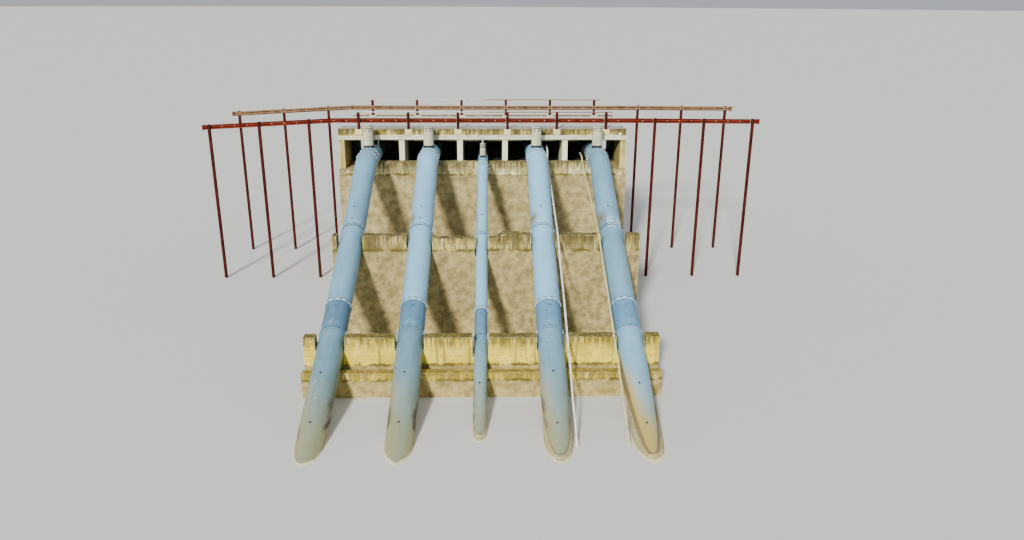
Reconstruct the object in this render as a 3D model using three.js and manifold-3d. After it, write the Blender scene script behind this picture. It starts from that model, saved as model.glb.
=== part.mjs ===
// Outfall of a drainage pumping station: five inclined steel discharge pipes leave a road culvert on a
// levee crest, lie in notched concrete walls and end at water level. Millimetres, +Z up, +X along the
// crest, +Y landward. The sizes below are taken from the middle pipe's plane, the river face of the road
// deck and the water surface; the group is shifted at the end so that the origin is under the middle.
import * as THREE from 'three';
import * as BufferGeometryUtils from 'three/addons/utils/BufferGeometryUtils.js';
import Module from 'manifold-3d';

const wasm = await Module();
wasm.setup();

// Clearance between pieces that rest on each other
const SEAT = 0.3;

// Road deck and culvert
const DECK_TOP = 9500;
const KERB_RISE = 50;
const DECK_WIDTH = 6290;
const DECK_HALF_LENGTH = 8780;
const EDGE_BEAM_WIDTH = 350;
const EDGE_BEAM_DEPTH = 650;
const SLAB_DEPTH = 400;
const LEDGE_DEPTH = 260;
const LEDGE_PROUD = 50;
const PAD_WIDTH = 420;
const PAD_DEPTH = 320;
const PAD_PROUD = 90;
const ABUTMENT_THICKNESS = 350;
const PIER_THICKNESS = 330;
const PIER_X = [-4950, -1410, 1350, 5020];
const FLOOR_TOP = 7100;
const FLOOR_DEPTH = 300;
const SLAB_TOP = DECK_TOP - KERB_RISE;
const SOFFIT = DECK_TOP - EDGE_BEAM_DEPTH;
const ABUTMENT_X = DECK_HALF_LENGTH - ABUTMENT_THICKNESS / 2;
const CLEAR_HALF = DECK_HALF_LENGTH - ABUTMENT_THICKNESS - SEAT;

// Cross walls that carry the pipes: river face, thickness, ends and top
const SILL = { front: -500, thickness: 500 - SEAT, left: -8780, right: 8780, raised: 6750, top: 7600 };
const MIDDLE = { front: -9200, thickness: 600, left: -7700, right: 8200, top: 5480 };
const LOWER = { front: -15570, thickness: 570, left: -8000, right: 8150, top: 2560 };
const TOE = { front: -16400, thickness: 450, left: -8000, right: 8150, top: 1200 };
const NOTCH_SIDE_GAP = 70;
const FLOOR_LEDGE = 250;

// Pipes: plan positions, outside radius, wall, and the line of their undersides (y, z) that all share
const PIPES = [
  { name: 'pipe_1', x: -6800, radius: 600, wall: 12, sides: 16 },
  { name: 'pipe_2', x: -3220, radius: 600, wall: 12, sides: 16 },
  { name: 'pipe_3', x: 0, radius: 300, wall: 10, sides: 12 },
  { name: 'pipe_4', x: 3210, radius: 600, wall: 12, sides: 16 },
  { name: 'pipe_5', x: 6860, radius: 600, wall: 12, sides: 16 },
];
const INLET_Y = 7090;
const BEND = [-2096, 7400];
const JOINT_UPPER = [-7687, 4718];
const JOINT_MIDDLE = [-12777, 2468];
const JOINT_LOWER = [-14420, 1748];
const FOOT_SLOPE = THREE.MathUtils.degToRad(22.06);
const BEND_RADIUS = 1650;
const BEND_STEPS = 2;
const COLLAR_HALF = 175;
const COLLAR_PROUD = 25;
const FLANGE_THICKNESS = 45;
const FLANGE_PROUD = 110;

// Air vents on the bends
const VENT_Y = -1000;
const VENT = { radius: 300, height: 1180, neck: 245, bore: 225, wall: 10, sides: 16, collar: 305 };
const SMALL_VENT = { radius: 165, height: 790, neck: 130, bore: 115, wall: 8, sides: 12, collar: 170 };
const VENT_COLLAR_RISE = 30;
const VENT_NECK_RISE = 80;
const VENT_SPOUT = { radius: 52, height: 340 };

// Conduits
const EDGE_CONDUIT_RADIUS = 35;
const EDGE_CONDUIT_Z = [9100, 8950];
const EDGE_CONDUIT_X = [-6400, 8300];
const SLOPE_CONDUIT_RADIUS = 45;
const SLOPE_CONDUIT_START = 900;
const CONDUIT_SADDLE = { width: 130, length: 80, setback: 30 };

// Road barriers
const POST_SPACING = 3000;
const POST_WIDTH = 160;
const POST_DEPTH = 160;
const POST_TALL = 1020;
const POST_LOW_ABOVE_RAIL = 170;
const RAIL_CENTRE = 500;
const RAIL_DEPTH = 280;
const RAIL_THICKNESS = 12;
const RAIL_WAVE = 70;
const HANDRAIL = { width: 90, depth: 60, left: -7700, right: 7900 };
const APPROACH_START = 9000;
const APPROACH_END = 16950;
const LEFT_APPROACH_FALL = 430;
const RIGHT_APPROACH_FALL = 50;

const MATERIALS = {
  pipe: new THREE.MeshStandardMaterial({ color: 0xa9bcc9, roughness: 0.5, metalness: 0.3 }),
  spool: new THREE.MeshStandardMaterial({ color: 0x7f9db6, roughness: 0.5, metalness: 0.3 }),
  vent: new THREE.MeshStandardMaterial({ color: 0xbdb9ac, roughness: 0.6, metalness: 0.3 }),
  concrete: new THREE.MeshStandardMaterial({ color: 0xb3a98c, roughness: 0.9, metalness: 0 }),
  deck: new THREE.MeshStandardMaterial({ color: 0xc4c0b2, roughness: 0.9, metalness: 0 }),
  conduit: new THREE.MeshStandardMaterial({ color: 0xd9d8cc, roughness: 0.5, metalness: 0.2 }),
  barrier: new THREE.MeshStandardMaterial({ color: 0x6e2b1c, roughness: 0.8, metalness: 0.4 }),
};

const outfall = new THREE.Group();

function place(name, geometry, material) {
  const mesh = new THREE.Mesh(geometry, material);
  mesh.name = name;
  outfall.add(mesh);
}

// Closed three.js geometry as a solid that can be joined or cut
function toSolid(geometry) {
  const bare = geometry.clone();
  bare.deleteAttribute('normal');
  bare.deleteAttribute('uv');
  const merged = BufferGeometryUtils.mergeVertices(bare, 1e-3);
  const mesh = new wasm.Mesh({
    numProp: 3,
    vertProperties: new Float32Array(merged.attributes.position.array),
    triVerts: new Uint32Array(merged.index.array),
  });
  mesh.merge();
  return new wasm.Manifold(mesh);
}

function toGeometry(solid) {
  const mesh = solid.getMesh();
  const geometry = new THREE.BufferGeometry();
  geometry.setAttribute('position', new THREE.BufferAttribute(mesh.vertProperties, 3));
  geometry.setIndex(new THREE.BufferAttribute(mesh.triVerts, 1));
  return geometry;
}

function joined(geometries) {
  return geometries.map(toSolid).reduce((whole, next) => whole.add(next));
}

function cut(solid, geometries) {
  return geometries.map(toSolid).reduce((whole, next) => whole.subtract(next), solid);
}

// Block between two corners
function block(x0, x1, y0, y1, z0, z1) {
  const geometry = new THREE.BoxGeometry(x1 - x0, y1 - y0, z1 - z0);
  return geometry.translate((x0 + x1) / 2, (y0 + y1) / 2, (z0 + z1) / 2);
}

// Outline in the X-Z plane, carried along +Y from y0 to y1
function crossProfile(points, y0, y1) {
  const shape = new THREE.Shape(points.map(([x, z]) => new THREE.Vector2(x, z)));
  const geometry = new THREE.ExtrudeGeometry(shape, { depth: y1 - y0, bevelEnabled: false });
  return geometry.rotateX(Math.PI / 2).translate(0, y1, 0);
}

// Outline in the Y-Z plane, carried along +X from x0 to x1
function longProfile(points, x0, x1) {
  const shape = new THREE.Shape(points.map(([y, z]) => new THREE.Vector2(y, z)));
  const geometry = new THREE.ExtrudeGeometry(shape, { depth: x1 - x0, bevelEnabled: false });
  return geometry.rotateX(Math.PI / 2).rotateZ(Math.PI / 2).translate(x0, 0, 0);
}

function slopeBetween(from, to) {
  return Math.atan2(from[1] - to[1], from[0] - to[0]);
}

const SLOPES = {
  chamber: 0,
  upper: slopeBetween(BEND, JOINT_UPPER),
  middle: slopeBetween(JOINT_UPPER, JOINT_MIDDLE),
  spool: slopeBetween(JOINT_MIDDLE, JOINT_LOWER),
  foot: FOOT_SLOPE,
};

// A ring across the pipe: a point on the centre line and the direction in which the ring's top leans,
// lengthened where the ring halves a bend between two slopes
function ringFrame(underside, radius, slopeIn, slopeOut) {
  const lean = (slopeIn + slopeOut) / 2;
  const stretch = 1 / Math.cos((slopeOut - slopeIn) / 2);
  const up = [-Math.sin(lean) * stretch, Math.cos(lean) * stretch];
  return { y: underside[0] + radius * up[0], z: underside[1] + radius * up[1], up };
}

function slid(frame, slope, distance) {
  const y = frame.y - Math.cos(slope) * distance;
  const z = frame.z - Math.sin(slope) * distance;
  return { y, z, up: frame.up };
}

// Tube whose rings follow the pipe's line: the rings run down the outside and back up the inside
function bentTube(outer, inner, pipe) {
  const rings = [...outer, ...inner.toReversed()];
  const profile = rings.map((ring, index) => new THREE.Vector2(ring.radius, index));
  profile.push(profile[0].clone());
  const geometry = new THREE.LatheGeometry(profile, pipe.sides);
  const position = geometry.attributes.position;
  for (let i = 0; i < position.count; i += 1) {
    const { y, z, up } = rings[Math.round(position.getY(i))];
    const rise = position.getZ(i);
    position.setXYZ(i, pipe.x - position.getX(i), y + rise * up[0], z + rise * up[1]);
  }
  return geometry;
}

// Outer rings of the collar at a joint, on the side that lies "away" (+1 downhill, -1 uphill) of it
function jointCollar(frame, slope, away, pipe) {
  const at = (distance, proud) => ({ ...slid(frame, slope, away * distance), radius: pipe.radius + proud });
  const rings = [at(SEAT / 2, COLLAR_PROUD), at(COLLAR_HALF, COLLAR_PROUD), at(COLLAR_HALF, 0)];
  return away > 0 ? rings : rings.toReversed();
}

function frames(pipe) {
  const { radius } = pipe;
  return {
    bend: ringFrame(BEND, radius, SLOPES.chamber, SLOPES.upper),
    upper: ringFrame(JOINT_UPPER, radius, SLOPES.upper, SLOPES.middle),
    middle: ringFrame(JOINT_MIDDLE, radius, SLOPES.middle, SLOPES.spool),
    lower: ringFrame(JOINT_LOWER, radius, SLOPES.spool, SLOPES.foot),
  };
}

function boreRing(frame, slope, distance, pipe) {
  return { ...slid(frame, slope, distance), radius: pipe.radius - pipe.wall };
}

// Straight length between two joints, with half of a collar at each end
function straightPiece(pipe, start, finish, slope) {
  const outer = [...jointCollar(start, slope, 1, pipe), ...jointCollar(finish, slope, -1, pipe)];
  const inner = [boreRing(start, slope, SEAT / 2, pipe), boreRing(finish, slope, -SEAT / 2, pipe)];
  return bentTube(outer, inner, pipe);
}

// Lowest length: its mouth is cut level at the water surface
function footPiece(pipe, start) {
  const slope = SLOPES.foot;
  const end = slid(start, slope, start.z / Math.sin(slope));
  const level = [-1 / Math.sin(slope), 0];
  const outer = [...jointCollar(start, slope, 1, pipe), { ...end, up: level, radius: pipe.radius }];
  const mouth = { ...end, up: level, radius: pipe.radius - pipe.wall };
  const inner = [boreRing(start, slope, SEAT / 2, pipe), mouth];
  return bentTube(outer, inner, pipe);
}

// Rings of the bend itself, a circular arc between the level run and the slope
function bendRings(corner, radius) {
  const turn = SLOPES.upper;
  const arm = BEND_RADIUS * Math.tan(turn / 2);
  const centre = [corner.y + arm, corner.z - BEND_RADIUS];
  return Array.from({ length: BEND_STEPS + 1 }, (_, step) => {
    const lean = (turn * step) / BEND_STEPS;
    const up = [-Math.sin(lean), Math.cos(lean)];
    return { y: centre[0] + BEND_RADIUS * up[0], z: centre[1] + BEND_RADIUS * up[1], up, radius };
  });
}

// Inlet flange, level run through the culvert with the vent's neck, bend, and slope down to a joint
function headPiece(pipe, start, finish, vent) {
  const level = (y, proud) => ({ y, z: start.z, up: [0, 1], radius: pipe.radius + proud });
  const outer = [
    level(INLET_Y, FLANGE_PROUD),
    level(INLET_Y - FLANGE_THICKNESS, FLANGE_PROUD),
    level(INLET_Y - FLANGE_THICKNESS, 0),
    ...bendRings(start, pipe.radius),
    ...jointCollar(finish, SLOPES.upper, -1, pipe),
  ];
  const inner = [
    level(INLET_Y, -pipe.wall),
    ...bendRings(start, pipe.radius - pipe.wall),
    boreRing(finish, SLOPES.upper, -SEAT / 2, pipe),
  ];
  const tube = toSolid(bentTube(outer, inner, pipe));
  const crown = start.z + pipe.radius;
  const stub = upright(pipe.x, vent.collar, start.z, crown + VENT_COLLAR_RISE, vent.sides);
  const neckTop = crown + VENT_COLLAR_RISE + VENT_NECK_RISE;
  const neck = upright(pipe.x, vent.neck, start.z, neckTop, vent.sides);
  const bore = upright(pipe.x, vent.bore, start.z, neckTop + VENT_NECK_RISE, vent.sides);
  const lowest = { ...slid(finish, SLOPES.upper, -SEAT / 2), radius: 0 };
  const filling = [level(INLET_Y, -pipe.radius), ...inner, lowest];
  const waterway = toSolid(bentTube(filling, [], pipe));
  const riser = joined([stub, neck]).subtract(waterway);
  return toGeometry(tube.add(riser).subtract(toSolid(bore)));
}

// Upright cylinder over the vent's place on a pipe
function upright(x, radius, z0, z1, sides) {
  const geometry = new THREE.CylinderGeometry(radius, radius, z1 - z0, sides);
  return geometry.rotateX(Math.PI / 2).translate(x, VENT_Y, (z0 + z1) / 2);
}

// Vent: a closed-topped tube, open below over its neck; the slim pipe's vent carries a spout
function ventPiece(pipe, vent, foot, spout) {
  const top = foot + vent.height;
  const profile = [
    [vent.radius - vent.wall, foot],
    [vent.radius, foot],
    [vent.radius, top - vent.wall * 2],
    [vent.radius - vent.wall * 2, top],
    [0, top],
    [0, top - vent.wall],
    [vent.radius - vent.wall * 2, top - vent.wall],
    [vent.radius - vent.wall, top - vent.wall * 3],
    [vent.radius - vent.wall, foot],
  ].map(([r, z]) => new THREE.Vector2(r, z));
  const shell = new THREE.LatheGeometry(profile, vent.sides);
  shell.rotateX(Math.PI / 2).translate(pipe.x, VENT_Y, 0);
  if (!spout) {
    return shell;
  }
  const tube = upright(pipe.x, spout.radius, top - vent.wall / 2, top + spout.height, 8);
  return toGeometry(joined([shell, tube]));
}

// Space for one pipe through a wall: snug under the pipe, with upright sides above its shoulder
function notch(pipe, y0, y1, slope, frame) {
  const half = pipe.radius + NOTCH_SIDE_GAP;
  const open = 4 * pipe.radius;
  const step = (2 * Math.PI) / pipe.sides;
  const snug = (pipe.radius + SEAT) / Math.cos(step / 2);
  const shoulder = pipe.sides / 4;
  const under = Array.from({ length: pipe.sides / 2 }, (_, index) => {
    const angle = -(shoulder + index + 0.5) * step;
    return [snug * Math.sin(angle), (snug * Math.cos(angle)) / Math.cos(slope)];
  });
  const points = [[-half, open], [-half, under[0][1]], ...under, [half, under.at(-1)[1]], [half, open]];
  const geometry = crossProfile(points, y0, y1);
  const position = geometry.attributes.position;
  for (let i = 0; i < position.count; i += 1) {
    const centre = frame.z + (position.getY(i) - frame.y) * Math.tan(slope);
    position.setX(i, position.getX(i) + pipe.x);
    position.setZ(i, position.getZ(i) + centre);
  }
  return geometry;
}

function notches(wall, slope, frameName) {
  const spare = 50;
  const back = wall.front + wall.thickness;
  return PIPES.map((pipe) => notch(pipe, wall.front - spare, back + spare, slope, frames(pipe)[frameName]));
}

// Cross wall from the ground up to its top, notched for the pipes
function crossWall(outline, wall, slope, frameName) {
  const body = toSolid(crossProfile(outline, wall.front, wall.front + wall.thickness));
  return toGeometry(cut(body, notches(wall, slope, frameName)));
}

function levelOutline(wall) {
  return [[wall.left, 0], [wall.right, 0], [wall.right, wall.top], [wall.left, wall.top]];
}

// Sill walls stand before the culvert's mouths; outside the outer pipes they drop to the floor's level
function sillOutline(wall) {
  return [
    [wall.left, 0],
    [wall.right, 0],
    [wall.right, FLOOR_TOP],
    [wall.raised, FLOOR_TOP],
    [wall.raised, wall.top],
    [-wall.raised, wall.top],
    [-wall.raised, FLOOR_TOP],
    [wall.left, FLOOR_TOP],
  ];
}

// The middle wall's top is worn down on both sides of the slim pipe and rises again towards pipe 4
function middleOutline(wall) {
  return [
    [wall.left, 0],
    [wall.right, 0],
    [wall.right, wall.top],
    [2300, wall.top],
    [1900, wall.top + 90],
    [1100, wall.top + 90],
    [200, wall.top - 230],
    [-200, wall.top - 170],
    [-2400, wall.top - 150],
    [-2700, wall.top],
    [wall.left, wall.top],
  ];
}

// Culvert walls, lowered at both ends under the edge beams: abutments from the ground, piers from the floor
function culvertWall(x, thickness, foot) {
  const inner = EDGE_BEAM_WIDTH;
  const outer = DECK_WIDTH - EDGE_BEAM_WIDTH;
  const seat = SOFFIT - SEAT;
  const top = SLAB_TOP - SLAB_DEPTH - SEAT;
  const points = [
    [0, foot],
    [DECK_WIDTH, foot],
    [DECK_WIDTH, seat],
    [outer, seat],
    [outer, top],
    [inner, top],
    [inner, seat],
    [0, seat],
  ];
  return longProfile(points, x - thickness / 2, x + thickness / 2);
}

// Edge beam with a ledge along its foot and a pad in front of each barrier post; mirrored for the land side
function edgeBeam(side) {
  const flip = (y) => (side === 'river' ? y : DECK_WIDTH - y);
  const outline = [
    [-LEDGE_PROUD, SOFFIT],
    [EDGE_BEAM_WIDTH - SEAT, SOFFIT],
    [EDGE_BEAM_WIDTH - SEAT, DECK_TOP],
    [0, DECK_TOP],
    [0, SOFFIT + LEDGE_DEPTH + LEDGE_PROUD / 2],
    [-LEDGE_PROUD, SOFFIT + LEDGE_DEPTH],
  ].map(([y, z]) => [flip(y), z]);
  const beam = longProfile(outline, -DECK_HALF_LENGTH, DECK_HALF_LENGTH);
  const pads = postPositions().filter((x) => Math.abs(x) < DECK_HALF_LENGTH).map((x) => {
    const [y0, y1] = [flip(-PAD_PROUD), flip(50)].sort((a, b) => a - b);
    return block(x - PAD_WIDTH / 2, x + PAD_WIDTH / 2, y0, y1, DECK_TOP - PAD_DEPTH, DECK_TOP);
  });
  return toGeometry(joined([beam, ...pads]));
}

function postPositions() {
  return Array.from({ length: 12 }, (_, index) => (index - 5.5) * POST_SPACING);
}

function railHeight(x) {
  const fall = x < 0 ? LEFT_APPROACH_FALL : RIGHT_APPROACH_FALL;
  const beyond = Math.max(0, Math.abs(x) - APPROACH_START);
  return DECK_TOP + RAIL_CENTRE - (fall * beyond) / (APPROACH_END - APPROACH_START);
}

// Guard rail: a wave-shaped strip on the road side of the posts, from x0 to x1, following the road's fall
function guardRail(face, away, x0, x1) {
  const half = RAIL_DEPTH / 2;
  const wave = [
    [0, -half],
    [RAIL_WAVE, -half * 0.7],
    [RAIL_WAVE, -half * 0.35],
    [0, 0],
    [RAIL_WAVE, half * 0.35],
    [RAIL_WAVE, half * 0.7],
    [0, half],
  ];
  const near = wave.map(([out, z]) => [face + away * (out - 2), z]);
  const far = wave.map(([out, z]) => [face + away * (out + RAIL_THICKNESS), z]).toReversed();
  const geometry = longProfile([...near, ...far], x0, x1);
  const position = geometry.attributes.position;
  for (let i = 0; i < position.count; i += 1) {
    position.setZ(i, position.getZ(i) + railHeight(position.getX(i)));
  }
  return geometry;
}

// One length of barrier: "river" or "land" side of the road, with the posts whose places lie in the length
function barrier(side, x0, x1, footZ, handrail) {
  const outer = side === 'river' ? 0 : DECK_WIDTH - POST_DEPTH;
  const face = side === 'river' ? POST_DEPTH : DECK_WIDTH - POST_DEPTH;
  const away = side === 'river' ? 1 : -1;
  const solids = [guardRail(face, away, x0, x1)];
  postPositions().filter((x) => x > x0 && x < x1).forEach((x) => {
    const top = handrail ? DECK_TOP + POST_TALL : railHeight(x) + POST_LOW_ABOVE_RAIL;
    const [x0Post, x1Post] = [x - POST_WIDTH / 2, x + POST_WIDTH / 2];
    solids.push(block(x0Post, x1Post, outer, outer + POST_DEPTH, footZ, top));
  });
  if (handrail) {
    const [y, z] = [outer + POST_DEPTH / 2, DECK_TOP + POST_TALL];
    const [halfWidth, halfDepth] = [HANDRAIL.width / 2, HANDRAIL.depth / 2];
    const { left, right } = HANDRAIL;
    solids.push(block(left, right, y - halfWidth, y + halfWidth, z - halfDepth, z + halfDepth));
  }
  return toGeometry(joined(solids));
}

// Two conduits along the foot of the edge beam, tied by their end boxes and a lamp box between pipes 4 and 5
function edgeConduits() {
  const y = -LEDGE_PROUD - EDGE_CONDUIT_RADIUS - SEAT;
  const [x0, x1] = EDGE_CONDUIT_X;
  const tubes = EDGE_CONDUIT_Z.map((z) => {
    const geometry = new THREE.CylinderGeometry(EDGE_CONDUIT_RADIUS, EDGE_CONDUIT_RADIUS, x1 - x0, 8);
    return geometry.rotateZ(Math.PI / 2).translate((x0 + x1) / 2, y, z);
  });
  const boxes = [x0, 3600, x1].map((x) => block(x - 110, x + 110, y - 90, y + 30, 8900, 9160));
  return toGeometry(joined([...tubes, ...boxes]));
}

// Conduit that runs down beside a pipe over the walls' front edges, on a saddle at each wall; it comes out of
// the culvert at the given height
function slopeConduit(x, culvertZ) {
  const walls = [SILL, MIDDLE, LOWER];
  const overEdges = walls.map((wall) => [wall.front - 20, wall.top + SLOPE_CONDUIT_RADIUS + 2]);
  const route = [[SLOPE_CONDUIT_START, culvertZ], [-150, culvertZ - 20], ...overEdges, [-20800, 60]];
  const slopes = route.slice(1).map((point, index) => slopeBetween(route[index], point));
  const rings = route.map((point, index) => {
    const slopeIn = slopes[Math.max(0, index - 1)];
    const slopeOut = slopes[Math.min(slopes.length - 1, index)];
    return { ...ringFrame(point, 0, slopeIn, slopeOut), radius: SLOPE_CONDUIT_RADIUS };
  });
  const capped = [{ ...rings[0], radius: 0 }, ...rings, { ...rings.at(-1), radius: 0 }];
  const { width, length, setback } = CONDUIT_SADDLE;
  const saddles = walls.map((wall, index) => {
    const [edgeY, edgeZ] = overEdges[index];
    const near = wall.front + setback;
    const rise = (near + length / 2 - edgeY) * Math.tan(slopes[index + 1]);
    return block(x - width / 2, x + width / 2, near, near + length, wall.top + SEAT, edgeZ + rise);
  });
  return toGeometry(joined([bentTube(capped, [], { x, sides: 8 }), ...saddles]));
}

function buildDeck() {
  const half = DECK_HALF_LENGTH;
  const [front, back] = [EDGE_BEAM_WIDTH, DECK_WIDTH - EDGE_BEAM_WIDTH];
  const slab = block(-half, half, front, back, SLAB_TOP - SLAB_DEPTH, SLAB_TOP);
  place('deck_slab', slab, MATERIALS.deck);
  place('edge_beam_river', edgeBeam('river'), MATERIALS.concrete);
  place('edge_beam_land', edgeBeam('land'), MATERIALS.concrete);
}

function buildCulvert() {
  place('abutment_left', culvertWall(-ABUTMENT_X, ABUTMENT_THICKNESS, 0), MATERIALS.concrete);
  place('abutment_right', culvertWall(ABUTMENT_X, ABUTMENT_THICKNESS, 0), MATERIALS.concrete);
  PIER_X.forEach((x, index) => {
    const pier = culvertWall(x, PIER_THICKNESS, FLOOR_TOP + SEAT);
    place(`culvert_pier_${index + 1}`, pier, MATERIALS.concrete);
  });
  const floor = block(-CLEAR_HALF, CLEAR_HALF, 0, DECK_WIDTH, FLOOR_TOP - FLOOR_DEPTH, FLOOR_TOP);
  place('culvert_floor', floor, MATERIALS.concrete);
}

// Sill wall with the ledge behind it that carries the culvert's floor
function sillWall(front, ledge0, ledge1) {
  const wall = { ...SILL, front };
  const body = toSolid(crossProfile(sillOutline(wall), front, front + wall.thickness));
  const ledge = toSolid(block(-CLEAR_HALF, CLEAR_HALF, ledge0, ledge1, 0, FLOOR_TOP - FLOOR_DEPTH - SEAT));
  return toGeometry(cut(body.add(ledge), notches(wall, SLOPES.chamber, 'bend')));
}

function buildWalls() {
  const river = sillWall(SILL.front, -FLOOR_LEDGE, FLOOR_LEDGE);
  const land = sillWall(DECK_WIDTH + SEAT, DECK_WIDTH - FLOOR_LEDGE, DECK_WIDTH + FLOOR_LEDGE);
  place('sill_wall_river', river, MATERIALS.concrete);
  place('sill_wall_land', land, MATERIALS.concrete);
  place('middle_wall', crossWall(middleOutline(MIDDLE), MIDDLE, SLOPES.middle, 'upper'), MATERIALS.concrete);
  place('lower_wall', crossWall(levelOutline(LOWER), LOWER, SLOPES.foot, 'lower'), MATERIALS.concrete);
  place('toe_beam', crossWall(levelOutline(TOE), TOE, SLOPES.foot, 'lower'), MATERIALS.concrete);
}

function buildPipes() {
  PIPES.forEach((pipe) => {
    const at = frames(pipe);
    const slim = pipe.radius < 400;
    const vent = slim ? SMALL_VENT : VENT;
    const ventFoot = at.bend.z + pipe.radius + VENT_COLLAR_RISE + SEAT;
    place(`${pipe.name}_head`, headPiece(pipe, at.bend, at.upper, vent), MATERIALS.pipe);
    place(`${pipe.name}_middle`, straightPiece(pipe, at.upper, at.middle, SLOPES.middle), MATERIALS.pipe);
    place(`${pipe.name}_spool`, straightPiece(pipe, at.middle, at.lower, SLOPES.spool), MATERIALS.spool);
    place(`${pipe.name}_foot`, footPiece(pipe, at.lower), MATERIALS.pipe);
    place(`${pipe.name}_vent`, ventPiece(pipe, vent, ventFoot, slim ? VENT_SPOUT : null), MATERIALS.vent);
  });
}

function buildConduits() {
  place('edge_conduits', edgeConduits(), MATERIALS.conduit);
  place('slope_conduit_4', slopeConduit(3930, 8350), MATERIALS.conduit);
  place('slope_conduit_5', slopeConduit(6050, 7900), MATERIALS.conduit);
}

function buildBarriers() {
  for (const side of ['river', 'land']) {
    const deck = barrier(side, -APPROACH_START, APPROACH_START, DECK_TOP + SEAT, true);
    const left = barrier(side, -APPROACH_END, -APPROACH_START - SEAT, 0, false);
    const right = barrier(side, APPROACH_START + SEAT, APPROACH_END, 0, false);
    place(`barrier_${side}_deck`, deck, MATERIALS.barrier);
    place(`barrier_${side}_left`, left, MATERIALS.barrier);
    place(`barrier_${side}_right`, right, MATERIALS.barrier);
  }
}

buildDeck();
buildCulvert();
buildWalls();
buildPipes();
buildConduits();
buildBarriers();

// Origin at water level under the middle of the whole: the river end is the tip of the large pipes' mouths
const largest = PIPES[0];
const footStart = frames(largest).lower;
const RIVER_END = footStart.y - footStart.z / Math.tan(FOOT_SLOPE) - largest.radius / Math.sin(FOOT_SLOPE);
outfall.position.set(0, -(RIVER_END + INLET_Y) / 2, 0);

export default outfall;
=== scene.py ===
import bpy
import numpy as np
from mathutils import Matrix


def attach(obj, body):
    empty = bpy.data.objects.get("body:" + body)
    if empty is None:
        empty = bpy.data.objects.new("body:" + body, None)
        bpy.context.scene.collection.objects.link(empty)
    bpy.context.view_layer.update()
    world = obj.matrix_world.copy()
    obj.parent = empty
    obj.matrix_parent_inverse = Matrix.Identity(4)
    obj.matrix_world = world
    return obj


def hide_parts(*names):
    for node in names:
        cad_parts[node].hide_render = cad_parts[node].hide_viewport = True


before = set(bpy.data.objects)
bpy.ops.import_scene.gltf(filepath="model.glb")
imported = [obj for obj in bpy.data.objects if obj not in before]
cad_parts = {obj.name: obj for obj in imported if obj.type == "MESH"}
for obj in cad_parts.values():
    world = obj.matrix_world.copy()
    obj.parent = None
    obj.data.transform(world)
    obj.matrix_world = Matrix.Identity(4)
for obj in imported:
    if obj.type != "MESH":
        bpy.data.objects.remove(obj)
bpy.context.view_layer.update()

# Cross walls of cast concrete: two sills at the culvert's mouths, a middle wall, a lower wall and a toe
# beam, all poured in board formwork with their notches already in them. Rain has darkened them in
# streaks from the top, lichen grows on the edges, and the middle wall's top has crumbled.
DECK_FACE = 7.4193  # y of the deck's front face, from which places along y are given
# Corners of the pipes' underside as (y, z), from the bend down to the lowest joint.
UNDERSIDE = [(-2.096, 7.4), (-7.687, 4.718), (-12.777, 2.468), (-14.42, 1.748)]
LAST_SLOPE = np.radians(22.06)
SLOPES = [*(np.arctan2(a[1] - b[1], a[0] - b[0]) for a, b in zip(UNDERSIDE, UNDERSIDE[1:])), LAST_SLOPE]
LARGE = 0.6
SLIM = 0.3
PIPES = {1: (-6.8, LARGE), 2: (-3.22, LARGE), 3: (0.0, SLIM), 4: (3.21, LARGE), 5: (6.86, LARGE)}
NOTCH_REACH = 0.07
NOTCH_GAP = 0.004
CHAMFER = 0.025
STATION = 0.055


def corners(radius):
    """Corners of a pipe's centre line as (y, z): each stands over the underside's corner by the radius over
    the cosine of half the turn, along the half-way lean."""
    found = []
    for (y, z), before, after in zip(UNDERSIDE, [0.0, *SLOPES], SLOPES):
        lean, stretch = (before + after) / 2, radius / np.cos((after - before) / 2)
        found.append((y + DECK_FACE - np.sin(lean) * stretch, z + np.cos(lean) * stretch))
    return found


def rough(u, v, size, seed):
    """Smooth chance heights from 0 to 1: values on a square lattice of that cell size, blended by 3t² - 2t³
    both ways."""
    chance = np.random.default_rng(seed).random((128, 128))
    i, j = np.floor(u / size).astype(int), np.floor(v / size).astype(int)
    s, t = (w * w * (3 - 2 * w) for w in (u / size - i, v / size - j))
    low, high = (chance[i % 128, k % 128] * (1 - s) + chance[(i + 1) % 128, k % 128] * s for k in (j, j + 1))
    return low * (1 - t) + high * t


def spread(x, y, z):
    """Points from coordinates that are repeated until their shapes match."""
    return np.stack(np.broadcast_arrays(x, y, z), -1)


def quads_of(number):
    """Four corners of each face between neighbouring rows and columns of point numbers."""
    return np.stack([number[:-1, :-1], number[:-1, 1:], number[1:, 1:], number[1:, :-1]], -1)


def grid(points, round_rows=False, round_columns=False, caps=False):
    """Shell over rows and columns of points, in quads; a round direction joins its end to its start, and caps
    close the first and last row."""
    number = np.arange(points[..., 0].size).reshape(points.shape[:2])
    ends = [number[:1, ::-1], number[-1:]] if caps else []
    number = np.vstack([number, number[:1]]) if round_rows else number
    number = np.hstack([number, number[:, :1]]) if round_columns else number
    return points.reshape(-1, 3), [quads_of(number).reshape(-1, 4), *ends]


def outward(shell):
    """The closed shell with its faces turned outwards: the signed volume, a sum of the fans' triple products,
    is above nought."""
    points, faces = shell
    volume = 0.0
    for block in faces:
        first = points[block[:, :1]]
        a, b = points[block[:, 1:-1]] - first, points[block[:, 2:]] - first
        volume += (np.cross(a, b) * (first - points[0])).sum()
    return shell if volume > 0 else (points, [block[:, ::-1] for block in faces])


def together(shells):
    """One shell from several: each shell's numbers move up by the points that come before it."""
    starts = np.cumsum([0] + [len(points) for points, _ in shells])
    faces = [block + start for (_, blocks), start in zip(shells, starts) for block in blocks]
    return np.vstack([points for points, _ in shells]), faces


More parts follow.
